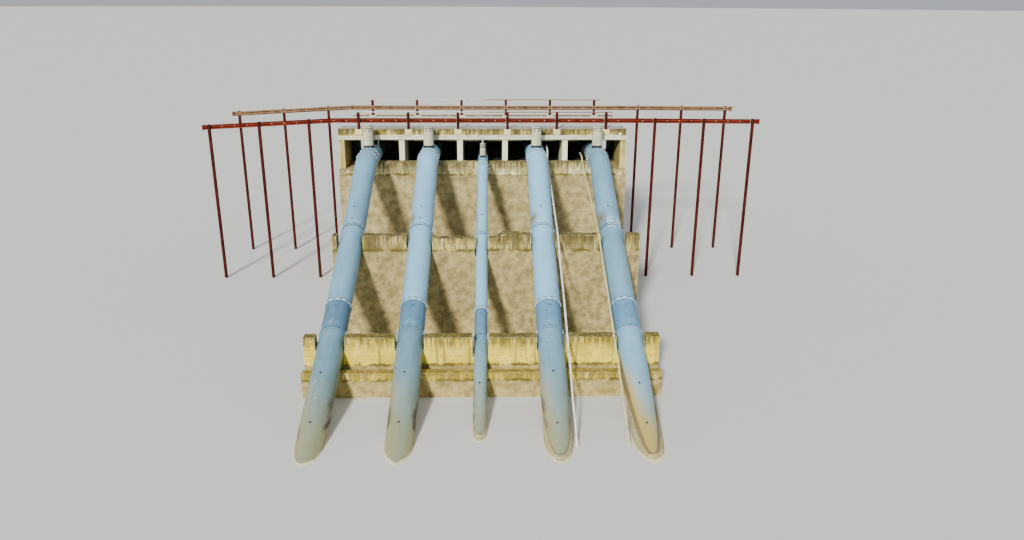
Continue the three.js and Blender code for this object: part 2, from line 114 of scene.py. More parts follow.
def show(name, shell, material, slot, *nodes, crease=35, **masks):
    """Makes a piece of the shell, riding on the frame in place of the named nodes; faces that meet below the
    crease angle shade as one, and each mask is a value per point."""
    points, faces = shell
    mesh = bpy.data.meshes.new(name)
    mesh.vertices.add(len(points))
    mesh.vertices.foreach_set("co", points.astype(np.float32).ravel())
    sizes = np.concatenate([np.full(len(block), block.shape[1]) for block in faces])
    corner_numbers = np.concatenate([block.ravel() for block in faces])
    mesh.loops.add(len(corner_numbers))
    mesh.loops.foreach_set("vertex_index", corner_numbers.astype(np.int32))
    mesh.polygons.add(len(sizes))
    mesh.polygons.foreach_set("loop_start", np.concatenate([[0], np.cumsum(sizes)[:-1]]).astype(np.int32))
    mesh.update(calc_edges=True)
    mesh.shade_smooth()
    mesh.set_sharp_from_angle(angle=np.radians(crease))
    for label, values in masks.items():
        mask = mesh.attributes.new(label, "FLOAT", "POINT")
        mask.data.foreach_set("value", np.full(len(points), values, np.float32))
    mesh.materials.append(material)
    piece = bpy.data.objects.new(name, mesh)
    bpy.context.scene.collection.objects.link(piece)
    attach(piece, "root")
    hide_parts(*nodes)


class Mix:
    """A finish as it is mixed in a node tree; its patterns follow a place on the object, in metres."""

    def __init__(self, tree):
        self.tree = tree

    def node(self, kind, feeds, **settings):
        """A shader node with its settings, each input linked from a socket or set to a value."""
        made = self.tree.nodes.new("ShaderNode" + kind)
        for key, value in settings.items():
            setattr(made, key, value)
        for key, value in feeds.items():
            entry = made.inputs[key]
            if isinstance(value, bpy.types.NodeSocket):
                self.tree.links.new(value, entry)
            else:
                entry.default_value = (*value, 1) if entry.type == "RGBA" else value
        return made

    def maths(self, operation, a, b, c=0.0, clamp=True):
        """One sum on numbers, kept between 0 and 1 unless clamp is off."""
        return self.node("Math", {0: a, 1: b, 2: c}, operation=operation, use_clamp=clamp).outputs[0]

    def plus(self, a, b):
        """The sum, at any size."""
        return self.maths("ADD", a, b, clamp=False)

    def minus(self, a, b):
        """The difference, at any size."""
        return self.maths("SUBTRACT", a, b, clamp=False)

    def product(self, first, *others):
        """All the numbers multiplied, each product kept between 0 and 1."""
        for other in others:
            first = self.maths("MULTIPLY", first, other)
        return first

    def largest(self, first, *others):
        """The largest of the numbers."""
        for other in others:
            first = self.maths("MAXIMUM", first, other)
        return first

    def both(self, a, a_share, b, b_share):
        """A share of one number and a share of another, added."""
        return self.maths("ADD", self.product(a, a_share), self.product(b, b_share))

    def between(self, value, low, high):
        """0 below low, 1 above high and a smooth step in between; low above high turns it round."""
        return self.node("MapRange", {0: value, 1: low, 2: high}, interpolation_type="SMOOTHSTEP").outputs[0]

    def coats(self, colour, *layers):
        """A colour under layers: each is a colour and the amounts whose product says how far it covers."""
        for above, *amounts in layers:
            feeds = {0: self.product(*amounts), 6: colour, 7: above}
            colour = self.node("Mix", feeds, data_type="RGBA").outputs[2]
        return colour

    def speckle(self, scale, detail=4.0, stretch=(1, 1, 1), coarse=0.55):
        """Noise from 0 to 1, with its pattern drawn out along an axis where stretch is below 1."""
        drawn = self.node("Mapping", {"Vector": self.place, "Scale": stretch}).outputs[0]
        feeds = {"Vector": drawn, "Scale": scale, "Detail": detail, "Roughness": coarse}
        return self.node("TexNoise", feeds).outputs[0]

    def patches(self, low, high, *noise):
        """Mask of patches: a noise of this kind, stepped between low and high."""
        return self.between(self.speckle(*noise), low, high)

    def split(self, vector):
        """The three parts of a vector."""
        return self.node("SeparateXYZ", {0: vector}).outputs

    def facing_up(self):
        """How far the surface faces up, from -1 to 1."""
        return self.split(self.node("NewGeometry", {}).outputs["Normal"])[2]

    def use(self, shared, **feeds):
        """The outputs of a shared group, placed with its inputs linked or set by name."""
        return self.node("Group", {"Place": self.place, **feeds}, node_tree=shared).outputs

    def worn(self, width, grain):
        """Mask of edges worn to that width."""
        return self.use(EDGE_WEAR, Width=width, Grain=grain)[0]

    def give(self, *results):
        """Links the results to the group's outputs in order and returns the group."""
        for result, socket in zip(results, self.gives):
            self.tree.links.new(result, socket)
        return self.tree

    def surface(self, colour, roughness, height, depth):
        """Feeds the shader its colour and roughness, and its normal from a height through a bump of that
        depth; returns the material."""
        bump = self.node("Bump", {"Height": height, "Distance": depth}).outputs[0]
        for label, socket in (("Base Color", colour), ("Roughness", roughness), ("Normal", bump)):
            self.tree.links.new(socket, self.shader.inputs[label])
        return self.material


def group(name, colours, numbers, gives=("Color", "Roughness", "Height")):
    """Mix of a node group that takes a place, colours and numbers and gives a colour and numbers."""
    tree = bpy.data.node_groups.new(name, "ShaderNodeTree")
    takes = {"Place": "Vector", **dict.fromkeys(colours, "Color"), **dict.fromkeys(numbers, "Float")}
    for label, kind in takes.items():
        tree.interface.new_socket(label, in_out="INPUT", socket_type="NodeSocket" + kind)
    for label in gives:
        kind = "Color" if label == "Color" else "Float"
        tree.interface.new_socket(label, in_out="OUTPUT", socket_type="NodeSocket" + kind)
    mix = Mix(tree)
    mix.takes, mix.gives = tree.nodes.new("NodeGroupInput").outputs, tree.nodes.new("NodeGroupOutput").inputs
    mix.place = mix.takes["Place"]
    return mix


def finish_of(name, **plain):
    """Mix of a new material, with its plain values set on the shader."""
    material = bpy.data.materials.new(name)
    material.use_nodes = True
    mix = Mix(material.node_tree)
    mix.material, mix.shader = material, material.node_tree.nodes["Principled BSDF"]
    mix.place = mix.node("TexCoord", {}).outputs["Object"]
    for key, value in plain.items():
        mix.shader.inputs[key.replace("_", " ")].default_value = value
    return mix


def edge_wear():
    """Mask of worn edges: how far the surface's direction, rounded off over the width, turns from the true
    one, broken up by noise."""
    mix = group("edge wear", [], ["Width", "Grain"], ["Mask"])
    soft = mix.node("Bevel", {"Radius": mix.takes["Width"]}, samples=4).outputs[0]
    true = mix.node("NewGeometry", {}).outputs["Normal"]
    turn = mix.node("VectorMath", {0: soft, 1: true}, operation="DOT_PRODUCT").outputs["Value"]
    broken = mix.patches(0.32, 0.55, mix.takes["Grain"], 6.0)
    return mix.give(mix.product(mix.between(turn, 0.995, 0.90), broken))


def cast_concrete():
    """Weathered cast concrete: pale ground with clouds and speckles, board lines, pale lime and dark rain
    streaks that fade downwards, a ragged fringe of short streaks under the top, a few long ones, a dark line
    under the top edge, a dark crust where it faces up, and lichen near the top."""
    mix = group("cast concrete", ["Pale", "Deep"], ["Streaks", "Lichen", "Top", "Reach", "Boards", "Crust"])
    take, height = mix.takes, mix.split(mix.place)[2]
    clouds, fine = mix.speckle(0.9, 6.0), mix.speckle(22.0, 5.0)
    below_top = mix.minus(take["Top"], height)
    fade = mix.between(mix.maths("DIVIDE", below_top, take["Reach"], clamp=False), 1.0, -0.05)
    wide = mix.patches(0.50, 0.62, 2.6, 5.0, (1, 1, 0.10))
    narrow = mix.patches(0.50, 0.62, 9.0, 4.0, (1, 1, 0.06))
    rain = mix.product(mix.largest(wide, narrow), fade)
    depth = mix.minus(below_top, mix.product(mix.speckle(4.0, 3.0, (1, 1, 0)), 0.7))
    fringe = mix.maths("ADD", mix.patches(0.44, 0.56, 9.0, 3.0, (1, 1, 0.07), 0.5), 0.25)
    fringe = mix.product(fringe, mix.between(depth, 0.28, -0.22))
    long = mix.product(mix.patches(0.585, 0.625, 2.8, 4.0, (1, 1, 0.03)), 0.6)
    edge = mix.product(mix.between(below_top, 0.095, 0.06), mix.between(below_top, 0.02, 0.04))
    board = mix.maths("PINGPONG", height, 0.14, clamp=False)
    seam = mix.product(mix.between(board, 0.030, 0.008), take["Boards"], mix.patches(0.36, 0.62, 1.4, 5.0))
    up = mix.between(mix.facing_up(), 0.45, 0.85)
    moss = mix.patches(0.44, 0.60, 1.9, 7.0, (1, 1, 0.5), 0.65)
    colour = mix.coats(
        take["Pale"],
        (take["Deep"], mix.between(clouds, 0.36, 0.64)),
        (take["Deep"], mix.patches(0.46, 0.60, 4.5, 7.0, (1, 1, 0.6), 0.68), 0.55),
        ((0.16, 0.14, 0.10), mix.between(fine, 0.56, 0.74), 0.45),
        ((0.16, 0.12, 0.05), seam),
        ((0.95, 0.86, 0.50), mix.patches(0.55, 0.66, 5.5, 4.0, (1, 1, 0.07)), fade, take["Streaks"], 0.8),
        ((0.17, 0.14, 0.09), up, mix.between(fine, 0.30, 0.55), take["Crust"]),
        ((0.36, 0.30, 0.02), moss, mix.between(below_top, 0.60, 0.0), take["Lichen"]),
        ((0.085, 0.065, 0.025), mix.largest(rain, fringe, long, edge), take["Streaks"], 0.9))
    rise = mix.maths("SUBTRACT", mix.both(fine, 0.5, clouds, 0.4), mix.product(seam, 0.5))
    return mix.give(colour, mix.between(fine, -0.6, 0.6), rise)


EDGE_WEAR = edge_wear()
CAST_CONCRETE = cast_concrete()


def concrete(name, pale, deep, buried=None, shaded_inside=False, **amounts):
    """One concrete finish: the shared cast concrete in its own colours, with edges painted pale, as wear and
    as painted highlight; below the buried level it is earthy, under a line of moss, and deep under the deck
    it is painted near black as shade."""
    mix = finish_of(name, Specular_IOR_Level=0.25)
    colour, *rest = mix.use(CAST_CONCRETE, Pale=pale, Deep=deep, **{"Boards": 0.5, "Crust": 0.3, **amounts})
    # Pale edges: wear, and a painted highlight along the arrises.
    colour = mix.coats(colour, ((0.80, 0.70, 0.38), mix.worn(0.035, 7.0)))
    _, depth, height = mix.split(mix.place)
    if buried:
        ragged = mix.maths("MULTIPLY_ADD", mix.speckle(5.0, 7.0, coarse=0.65), -0.24, height, clamp=False)
        level = mix.plus(ragged, 0.12 - buried)
        dark = mix.patches(0.38, 0.62, 2.2, 8.0, (1, 1, 1), 0.7)
        earth = mix.coats((0.46, 0.37, 0.16), ((0.22, 0.17, 0.07), dark))
        line = mix.product(mix.between(level, -0.10, -0.05), mix.between(level, 0.10, 0.04))
        moss = mix.patches(0.38, 0.56, 1.8, 6.0, (1, 1, 1), 0.65)
        colour = mix.coats(colour, (earth, mix.between(level, 0.02, -0.05), 0.85),
                           ((0.10, 0.085, 0.01), line, moss, 0.9))
    # From 1.6 m behind the deck's face the concrete is painted near black: painted shade inside the culvert.
    if shaded_inside:
        inside = mix.minus(depth, DECK_FACE)
        painted_shade = mix.product(mix.between(inside, 1.6, 3.0), mix.between(inside, 6.4, 6.2))
        colour = mix.coats(colour, ((0.012, 0.013, 0.010), painted_shade))
    return mix.surface(colour, *rest, 0.012)


def spotted(name, noise, steps, ground, spots, dullness, worn=None, **plain):
    """A small part's finish: a ground with spots of another colour and as dull as they say, with bright edges
    where a width and grain are given."""
    mix = finish_of(name, **plain)
    pattern = mix.speckle(*noise)
    colour = mix.coats(ground, (spots, mix.between(pattern, *steps)))
    if worn:
        colour = mix.coats(colour, ((0.85, 0.86, 0.85), mix.worn(*worn)))
    return mix.surface(colour, mix.between(pattern, *dullness), pattern, 0.002)


def notched(x, y, top, slope, corner):
    """Height of a wall's top: the top line, or over each pipe its underside, a circle's lower half drawn out
    by 1 / cos(slope) that rises with y along the slope."""
    high = top
    for place, radius in PIPES.values():
        off = np.abs(x - place)
        at_y, at_z = corners(radius)[corner]
        half = np.sqrt(np.clip((radius + NOTCH_GAP) ** 2 - off ** 2, 0, None)) / np.cos(slope)
        bowl = at_z + (y - at_y) * np.tan(slope) - half
        high = np.where(off < radius + NOTCH_REACH, np.minimum(high, bowl), high)
    return high


def along_x(ends, spans, places, close=0.001):
    """Stations along x between the ends: even ones, and one close to each side of every place."""
    steps = [place + np.array([-close, close]) for place in places]
    return np.unique(np.clip(np.concatenate([np.linspace(*ends, spans), *steps]), *ends))[:, None]


def cross_wall(ends, front, depth, top_line, slope, corner, wear, seed):
    """Wall as a profile across it, carried along x: up the front, over a chamfer and the top, and down the
    back, with each height scaled to the top at that x and bitten into by chance heights squared."""
    edges = [place + side * (radius + NOTCH_REACH) for place, radius in PIPES.values() for side in (-1, 1)]
    x = along_x(ends, int((ends[1] - ends[0]) / STATION), edges)
    back = front + depth
    y = np.array([front, front + CHAMFER, *np.linspace(front + 0.09, back - 0.09, 5), back - CHAMFER, back])
    drop = np.array([CHAMFER, *[0] * 7, CHAMFER])
    high = notched(x, y, np.interp(x, *zip(*top_line)), slope, corner) - drop
    bite = rough(x, y[None], 0.11, seed) * rough(x, y[None], 0.5, seed + 1)
    high = high - wear * bite ** 2 * (1 + 2 * (drop > 0))
    share = np.linspace(0, 1, 14)[:-1]
    face = spread(x, front, high[:, :1] * share)
    face[..., 1] += 0.007 * rough(face[..., 0], face[..., 2], 0.6, seed + 2)
    rows = [face, spread(x, y, high), spread(x, back, high[:, -1:] * share[::-1])]
    return outward(grid(np.concatenate(rows, 1), round_columns=True, caps=True))


def unit(vectors):
    """The vectors, each at length 1."""
    return vectors / np.linalg.norm(vectors, axis=-1, keepdims=True)


def rods(starts, ends, radius, sides=12):
    """Closed prisms from each start to each end: start or end + radius · (one direction square to the way ·
    cos + the other · sin), with both ends capped."""
    starts, ends = np.atleast_2d(starts).astype(float), np.atleast_2d(ends).astype(float)
    way = unit(ends - starts)
    across = unit(np.cross(way, np.where(np.abs(way[:, 2:]) > 0.9, [1.0, 0, 0], [0, 0, 1.0])))
    turn = ((np.arange(sides) + 0.5) * 2 * np.pi / sides)[:, None]
    ring = across[:, None] * np.cos(turn) + np.cross(way, across)[:, None] * np.sin(turn)
    points = np.stack([starts[:, None] + radius * ring, ends[:, None] + radius * ring], 1)
    number = np.arange(points[..., 0].size).reshape(points.shape[:3])
    after = np.roll(number, -1, 2)
    flanks = np.stack([number[:, 0], after[:, 0], after[:, 1], number[:, 1]], -1).reshape(-1, 4)
    return outward((points.reshape(-1, 3), [flanks, number[:, 0, ::-1], number[:, 1]]))


FLOOR_TOP = 7.1
SILL_TOP = 7.6
MIDDLE_TOP = 5.48
LOWER_TOP = 2.56
TOE_TOP = 1.2
SILL_FRONT = -0.5
MIDDLE_FRONT = -9.2
LOWER_FRONT = -15.57
TOE_FRONT = -16.4
WALL_ENDS = (-8.78, 8.78)
LOW_ENDS = (-8.0, 8.15)
sill_line = [(-8.78, FLOOR_TOP), (-6.76, FLOOR_TOP), (-6.75, SILL_TOP), (6.75, SILL_TOP), (6.76, FLOOR_TOP),
             (8.78, FLOOR_TOP)]
land_line = [(x, z if z == FLOOR_TOP else z + 0.1) for x, z in sill_line]
middle_line = [(x, MIDDLE_TOP + z) for x, z in (
    (-7.7, 0), (-2.7, 0), (-2.4, -0.15), (-0.2, -0.17), (0.2, -0.23), (0.7, -0.14), (1.1, 0.07), (1.9, 0.08),
    (2.3, 0), (8.2, 0))]
# The sills also get the painted shade where they stand inside the culvert.
sill_concrete = concrete("sill concrete", (0.95, 0.85, 0.42), (0.34, 0.28, 0.11), 6.82, True, Streaks=1.0,
                         Lichen=0.30, Top=SILL_TOP, Reach=1.7, Boards=0.6, Crust=0.0)
middle_concrete = concrete("middle wall concrete", (0.70, 0.56, 0.18), (0.22, 0.17, 0.05), 4.68, Streaks=1.0,
                           Lichen=0.35, Top=MIDDLE_TOP, Reach=1.8, Boards=0.7)
lower_concrete = concrete("lower wall concrete", (0.95, 0.76, 0.09), (0.66, 0.50, 0.05), 1.24, Streaks=0.90,
                          Lichen=0.75, Top=LOWER_TOP, Reach=0.9, Boards=0.35, Crust=0.9)
toe_concrete = concrete("toe beam concrete", (0.80, 0.60, 0.06), (0.44, 0.32, 0.04), 0.86, Streaks=0.6,
                        Lichen=0.5, Top=TOE_TOP, Reach=0.9, Crust=0.4)
level_line = {top: [(x, top) for x in LOW_ENDS] for top in (LOWER_TOP, TOE_TOP)}
walls = {
    "sill_wall_river": (WALL_ENDS, SILL_FRONT, 0.4997, sill_line, 0.0, 0, sill_concrete, 0.03),
    "sill_wall_land": (WALL_ENDS, 6.2903, 0.4997, land_line, 0.0, 0, sill_concrete, 0.03),
    "middle_wall": ((-7.7, 8.2), MIDDLE_FRONT, 0.6, middle_line, SLOPES[1], 1, middle_concrete, 0.16),
    "lower_wall": (LOW_ENDS, LOWER_FRONT, 0.57, level_line[LOWER_TOP], SLOPES[3], 3, lower_concrete, 0.04),
    "toe_beam": (LOW_ENDS, TOE_FRONT, 0.45, level_line[TOE_TOP], SLOPES[3], 3, toe_concrete, 0.10),
}
for seed, (name, (ends, front, depth, line, slope, corner, finish, wear)) in enumerate(walls.items()):
    shell = cross_wall(ends, front + DECK_FACE, depth, line, slope, corner, wear, 10 * seed)
    show(name + "_cast", shell, finish, "concrete", name, crease=50)

TIES = 35
FIRST_TIE = -7.75
TIE_SPACING = 0.457
TIE_ROWS = (2.148, 1.652)
LOST_TIES = 0.2
rusty_ties = spotted("rusty formwork ties", (30.0, 4.0), (0.40, 0.62), (0.05, 0.035, 0.02),
                     (0.14, 0.06, 0.02), (-0.6, 1.0), Specular_IOR_Level=0.2)
places = FIRST_TIE + TIE_SPACING * np.arange(TIES)
places = places[np.random.default_rng(5).random(TIES) > LOST_TIES]
clear = places[np.abs(places[:, None] - [x for x, _ in PIPES.values()]).min(1) > LARGE + 0.12]
tie_rows = [spread(clear, LOWER_FRONT - 0.002 + DECK_FACE, z) for z in TIE_ROWS]
ties = together([rods(row, row + [0, 0.05, 0], 0.024) for row in tie_rows])
show("lower_wall_tie_plugs", ties, rusty_ties, "concrete", "lower_wall")

# Culvert and deck: abutments, piers, floor and slab of plain cast concrete, lit only at their edges. They
# keep their solids' forms and get small chamfers, as the formwork's corner strips leave them.
# Abutments, piers and floor are painted near black deep inside the culvert, as painted shade.
plain_concrete = {
    "culvert_pier": concrete("pier concrete", (0.92, 0.90, 0.62), (0.84, 0.82, 0.55), shaded_inside=True, Streaks=0.2,
                             Lichen=0.1, Top=9.05, Reach=0.6, Boards=0.2),
    "abutment": concrete("abutment concrete", (0.70, 0.60, 0.22), (0.46, 0.38, 0.10), shaded_inside=True, Streaks=0.55,
                         Lichen=0.9, Top=9.0, Reach=1.6, Boards=0.3),
    "culvert_floor": concrete("culvert floor concrete", (0.52, 0.38, 0.16), (0.38, 0.28, 0.12), shaded_inside=True,
                              Streaks=0.2, Lichen=0.0, Top=FLOOR_TOP, Reach=1.0, Boards=0.0, Crust=0.1),
    "deck_slab": concrete("road slab concrete", (0.86, 0.86, 0.82), (0.74, 0.74, 0.70), Streaks=0.15,
                          Lichen=0.0, Top=9.45, Reach=1.0, Boards=0.0, Crust=0.05),
}
for name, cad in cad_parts.items():
    for word, finish in plain_concrete.items():
        if name.startswith(word):
            cad.data.materials.clear()
            cad.data.materials.append(finish)
            weld = cad.modifiers.new("weld", "WELD")
            weld.merge_threshold = 0.0001
            chamfer = cad.modifiers.new("chamfer", "BEVEL")
            chamfer.width = 0.02
            chamfer.segments = 2
            chamfer.limit_method = "ANGLE"

# Edge beams of the deck, cast with a ledge along the foot and a pad in front of each barrier post. The
# outer faces are stained by rain from the kerb; the pads were cast later and stayed pale.
BEAM_END = 8.78
DECK_TOP = 9.5
POST_SPACING = 3.0
POST_PLACES = (np.arange(12) - 5.5) * POST_SPACING
PAD = 0.21
PAD_RISE = 0.09
ROAD_WIDTH = 6.29


def edge_beam(seed):
    """Beam as a closed profile across it, carried along x; near a post the upper front stands out to the
    pad's face, and chance heights squared bite into the edges."""
    edges = [place + side * PAD for place in POST_PLACES for side in (-1, 1)]
    x = along_x((-BEAM_END, BEAM_END), 330, edges, 0.002)
    pad = np.abs(x - POST_PLACES).min(1, keepdims=True) < PAD
    deep, high = np.array([
        (-0.05, 8.87), (-0.05, 8.95), (-0.05, 9.03), (-0.05, 9.095), (-0.04, 9.113), (0, 9.135), (0, 9.18),
        (0, 9.19), (0, 9.30), (0, 9.40), (0, 9.475), (0.025, 9.5), (0.12, 9.5), (0.23, 9.5), (0.33, 9.5),
        (0.3497, 9.48), (0.3497, 8.85), (-0.03, 8.85)]).T
    y = deep - PAD_RISE * (pad & (deep < 0.03) & (high > 9.185))
    bite = 0.03 * (rough(x, high[None], 0.09, seed) * rough(x, high[None], 0.6, seed + 1)) ** 2
    return spread(x, y + bite * (deep < 0.1), high - bite * (high > 9.45))


def beam_concrete():
    """Beam's own finish: the shared cast concrete, a lighter ledge, and pads left pale round each post's
    place, which repeats every 3 m from the middle."""
    mix = finish_of("edge beam concrete", Specular_IOR_Level=0.25)
    colour, *rest = mix.use(CAST_CONCRETE, Pale=(0.80, 0.68, 0.24), Deep=(0.16, 0.13, 0.03), Streaks=1.0,
                            Lichen=0.9, Top=DECK_TOP, Reach=0.40, Boards=0.0, Crust=0.2)
    x, _, z = mix.split(mix.place)
    step = mix.maths("PINGPONG", x, POST_SPACING / 2, clamp=False)
    colour = mix.coats(
        colour,
        ((0.68, 0.65, 0.45), mix.between(z, 9.14, 9.09), 0.75),
        ((0.82, 0.72, 0.34), mix.between(step, 1.27, 1.29), mix.between(z, 9.17, 9.19), 0.85),
        # Pale edges: wear, and a painted highlight along the arrises.
        ((0.84, 0.78, 0.50), mix.worn(0.03, 7.0)))
    return mix.surface(colour, *rest, 0.01)


beam_finish = beam_concrete()
beam = edge_beam(70)
for name, flip, y in (("edge_beam_river", 1, DECK_FACE), ("edge_beam_land", -1, DECK_FACE + ROAD_WIDTH)):
    shell = outward(grid(beam * [1, flip, 1] + [0, y, 0], round_columns=True, caps=True))
    show(name + "_cast", shell, beam_finish, "deck_concrete", name, crease=50)

# Discharge pipes: welded steel tubes, their walls 12 or 10 mm thick, painted blue-grey. Each runs level
# through the culvert, bends over the sill and goes down in four lengths, held together by sleeve couplings
# with two rings; the third length was renewed and painted darker. Dust, run-off and silt lie on them.
INLET_Y = 7.09 + DECK_FACE
SIDES = 72
HALF_GAP = 0.00015
RING = 0.022
BEND_RADIUS = 1.65
BAND_LEAN = 0.3
BAND_RISE = 0.012
MEAN_SLOPE = 0.41
MASKS = ("fade", "scuff", "stain", "chalk", "grime", "silt", "tide")
# Where along y each pipe's bend has its two bands.
BANDS = {1: (-1.13, -2.0), 2: (-1.36, -2.08), 3: (-1.97, -2.43), 4: (-1.36, -2.1), 5: (-0.85, -1.6)}
WALL = {LARGE: 0.012, SLIM: 0.010}
LEANS = [SLOPES[0], *((a + b) / 2 for a, b in zip(SLOPES, SLOPES[1:])), SLOPES[3]]


def slid(point, slope, distance):
    """A point moved down a slope by a distance."""
    return point[0] - np.cos(slope) * distance, point[1] - np.sin(slope) * distance


def run_of(joints, part, radius, stations):
    """Rings along a straight length: for each station, a distance from the upper end or, where negative, back
    from the lower end, and a height above the tube; a ring near a joint leans half-way."""
    (y0, z0), (y1, z1), slope = joints[part], joints[part + 1], SLOPES[part]
    length = np.hypot(y1 - y0, z1 - z0)
    rows = []
    for distance, proud in stations:
        way = distance if distance >= 0 else length + distance
        nearest = LEANS[part] if way < length / 2 else LEANS[part + 1]
        lean = nearest if min(way, length - way) < 0.4 else slope
        rows.append((*slid((y0, z0), slope, way), lean, 1 / np.cos(lean - slope), radius + proud))
    return rows


def tube(x, rows):
    """Rings of points from (y, z, lean, stretch, radius): centre + radius · sin(angle) across and radius ·
    cos(angle) · stretch along the ring's leaning upward direction."""
    angle = np.linspace(0, 2 * np.pi, SIDES, endpoint=False)
    y, z, lean, stretch, radius = (column[:, None] for column in np.array(rows, float).T)
    rise = radius * np.cos(angle) * stretch
    return spread(x + radius * np.sin(angle), y - np.sin(lean) * rise, z + np.cos(lean) * rise)


def half_coupling(lower_end):
    """Stations of half a coupling, measured from the joint: a groove, a clamp ring and the sleeve's end."""
    steps = [(HALF_GAP, 0.004), (0.034, 0.004), (0.036, RING), (0.062, RING), (0.064, 0.005),
             (0.085, 0.005), (0.11, 0.005), (0.15, 0.004), (0.152, 0.0), (0.2, 0.0), (0.25, 0.0)]
    return [(-d, p) for d, p in reversed(steps)] if lower_end else steps


def to_base(ring, steps):
    """Rings that carry each point of a ring on down the last slope to where its own line meets the base."""
    way = np.linspace(0, 1, steps + 1)[1:, None] * ring[:, 2] / np.sin(SLOPES[3])
    return ring - way[..., None] * [0, np.cos(SLOPES[3]), np.sin(SLOPES[3])]


def painted_steel():
    """Old paint on a pipe outdoors: a colour between fresh and faded as a mask and clouds say, dust on the
    crown, fine run-off lines down the sides, scuffs, stains, chalk, and grime and painted shade where masks
    say, rust freckles and flecks, and near the base a film with smears, silt under a tide mark, and a pale
    rim."""
    mix = group("painted steel", ["Paint", "Faded", "Stained"], MASKS)
    take, up = mix.takes, mix.facing_up()
    clouds, fine = mix.speckle(0.7, 5.0, (1, 0.5, 0.7)), mix.speckle(30.0, 4.0)
    runs, patch = mix.speckle(5.0, 5.0, (1, 0.12, 0.25)), mix.speckle(6.0, 6.0, coarse=0.65)
    faded = mix.maths("MULTIPLY_ADD", mix.minus(clouds, 0.5), 0.7, take["fade"])
    scuffed = mix.product(take["scuff"], mix.between(patch, 0.42, 0.52))
    # Near black where the mask says: grime, and painted shade under the deck, at the rings and on the vents.
    dirt_and_shade = mix.between(mix.plus(fine, take["grime"]), 0.80, 1.20)
    flecks = mix.node("TexVoronoi", {"Vector": mix.place, "Scale": 2.0}).outputs["Distance"]
    level = mix.minus(mix.split(mix.place)[2], mix.product(mix.speckle(1.6, 3.0), 0.16))
    film = mix.between(level, 2.1, 0.2)
    smear = mix.product(mix.patches(0.47, 0.60, 2.4, 6.0, (1, 0.3, 1)), mix.between(level, 1.3, 0.6),
                        mix.between(up, 0.80, 0.45), mix.between(level, 0.06, 0.22))
    reached = mix.minus(level, take["silt"])
    above = mix.minus(reached, take["tide"])
    mud = mix.coats((0.60, 0.52, 0.27), ((0.36, 0.30, 0.14), mix.between(patch, 0.35, 0.60)))
    colour = mix.coats(
        take["Paint"],
        (take["Faded"], faded),
        ((0.46, 0.66, 0.74), mix.between(up, 0.35, 1.0), mix.between(runs, 0.38, 0.62), 0.12),
        ((0.08, 0.13, 0.17), mix.between(runs, 0.54, 0.66), mix.between(up, 0.95, 0.3), 0.28),
        ((0.58, 0.80, 0.92), scuffed, 0.85),
        (take["Stained"], take["stain"], mix.between(patch, 0.20, 0.48)),
        ((0.74, 0.86, 0.90), mix.between(mix.plus(fine, take["chalk"]), 0.85, 1.15)),
        ((0.010, 0.016, 0.024), dirt_and_shade),
        ((0.20, 0.10, 0.05), mix.between(fine, 0.70, 0.76), mix.between(clouds, 0.50, 0.62)),
        ((0.90, 0.92, 0.88), mix.between(flecks, 0.060, 0.045)),
        ((0.31, 0.29, 0.09), film, 0.7),
        ((0.44, 0.38, 0.20), mix.between(level, 0.75, 0.20), mix.between(up, 0.85, 0.45), 0.6),
        ((0.07, 0.065, 0.045), smear, 0.85),
        (mud, mix.between(reached, 0.01, -0.02), 0.9),
        ((0.17, 0.13, 0.065), mix.between(reached, -0.01, 0.02), mix.between(above, 0.03, -0.04), 0.8),
        ((0.85, 0.76, 0.48), mix.between(level, -0.01, -0.05), 0.7))
    dull = mix.maths("ADD", mix.product(fine, 0.2), mix.largest(film, dirt_and_shade, scuffed))
    return mix.give(colour, mix.between(dull, -0.75, 1.1), mix.both(fine, 0.3, clouds, 0.7))


PAINTED_STEEL = painted_steel()


def pipe_paint(name, paint, faded, stained=(0.26, 0.16, 0.05)):
    """One paint over steel, with the masks that its pieces carry."""
    mix = finish_of(name, Metallic=0.05, Specular_IOR_Level=0.4)
    masks = {mask: mix.node("Attribute", {}, attribute_name=mask).outputs["Fac"] for mask in MASKS}
    coat = mix.use(PAINTED_STEEL, Paint=paint, Faded=faded, Stained=stained, **masks)
    return mix.surface(*coat, 0.004)


FRESH_BLUE = (0.12, 0.24, 0.31)
FADED_BLUE = (0.29, 0.61, 0.86)
blue_grey = pipe_paint("blue-grey pipe paint", FRESH_BLUE, FADED_BLUE)
foot_blue = pipe_paint("blue-grey paint at the foot", FRESH_BLUE, FADED_BLUE, (0.78, 0.50, 0.08))
steel_blue = pipe_paint("steel-blue pipe paint", (0.07, 0.17, 0.26), (0.12, 0.30, 0.48))
# By pipe: fading of the long lengths, the spool and the foot; silt at the crown, its rise to the sides, the
# tide mark's width at the crown and its growth to the sides; and how strong the stains and scuffs are.
FADE = {1: (0.37, 0.15, 0.10), 2: (0.85, 0.40, 0.10), 3: (0.88, 0.40, 0.30), 4: (1.0, 0.90, 0.30),
        5: (0.37, 0.85, 0.60)}
SILT = {1: (-0.04, 0.06, 0, 0), 2: (-0.03, 0.10, 0, 0), 3: (0.05, 0.22, 0.03, 0.08),
        4: (0.06, 0.66, 0.05, 0.08), 5: (0.06, 0.85, 0.05, 0.95)}
UPPER_STAIN = {1: 0.0, 2: 0.9, 3: 0.0, 4: 1.0, 5: 0.9}
FOOT_STAIN = {1: 0.0, 2: 0.0, 3: 0.0, 4: 0.0, 5: 1.0}
FLANK_STAIN = {1: 0.20, 2: 0.30, 3: 0.1, 4: 0.35, 5: 0.90}
UPPER_SCUFF = {1: 0.25, 2: 0.15, 3: 0.1, 4: 0.25, 5: 0.9}
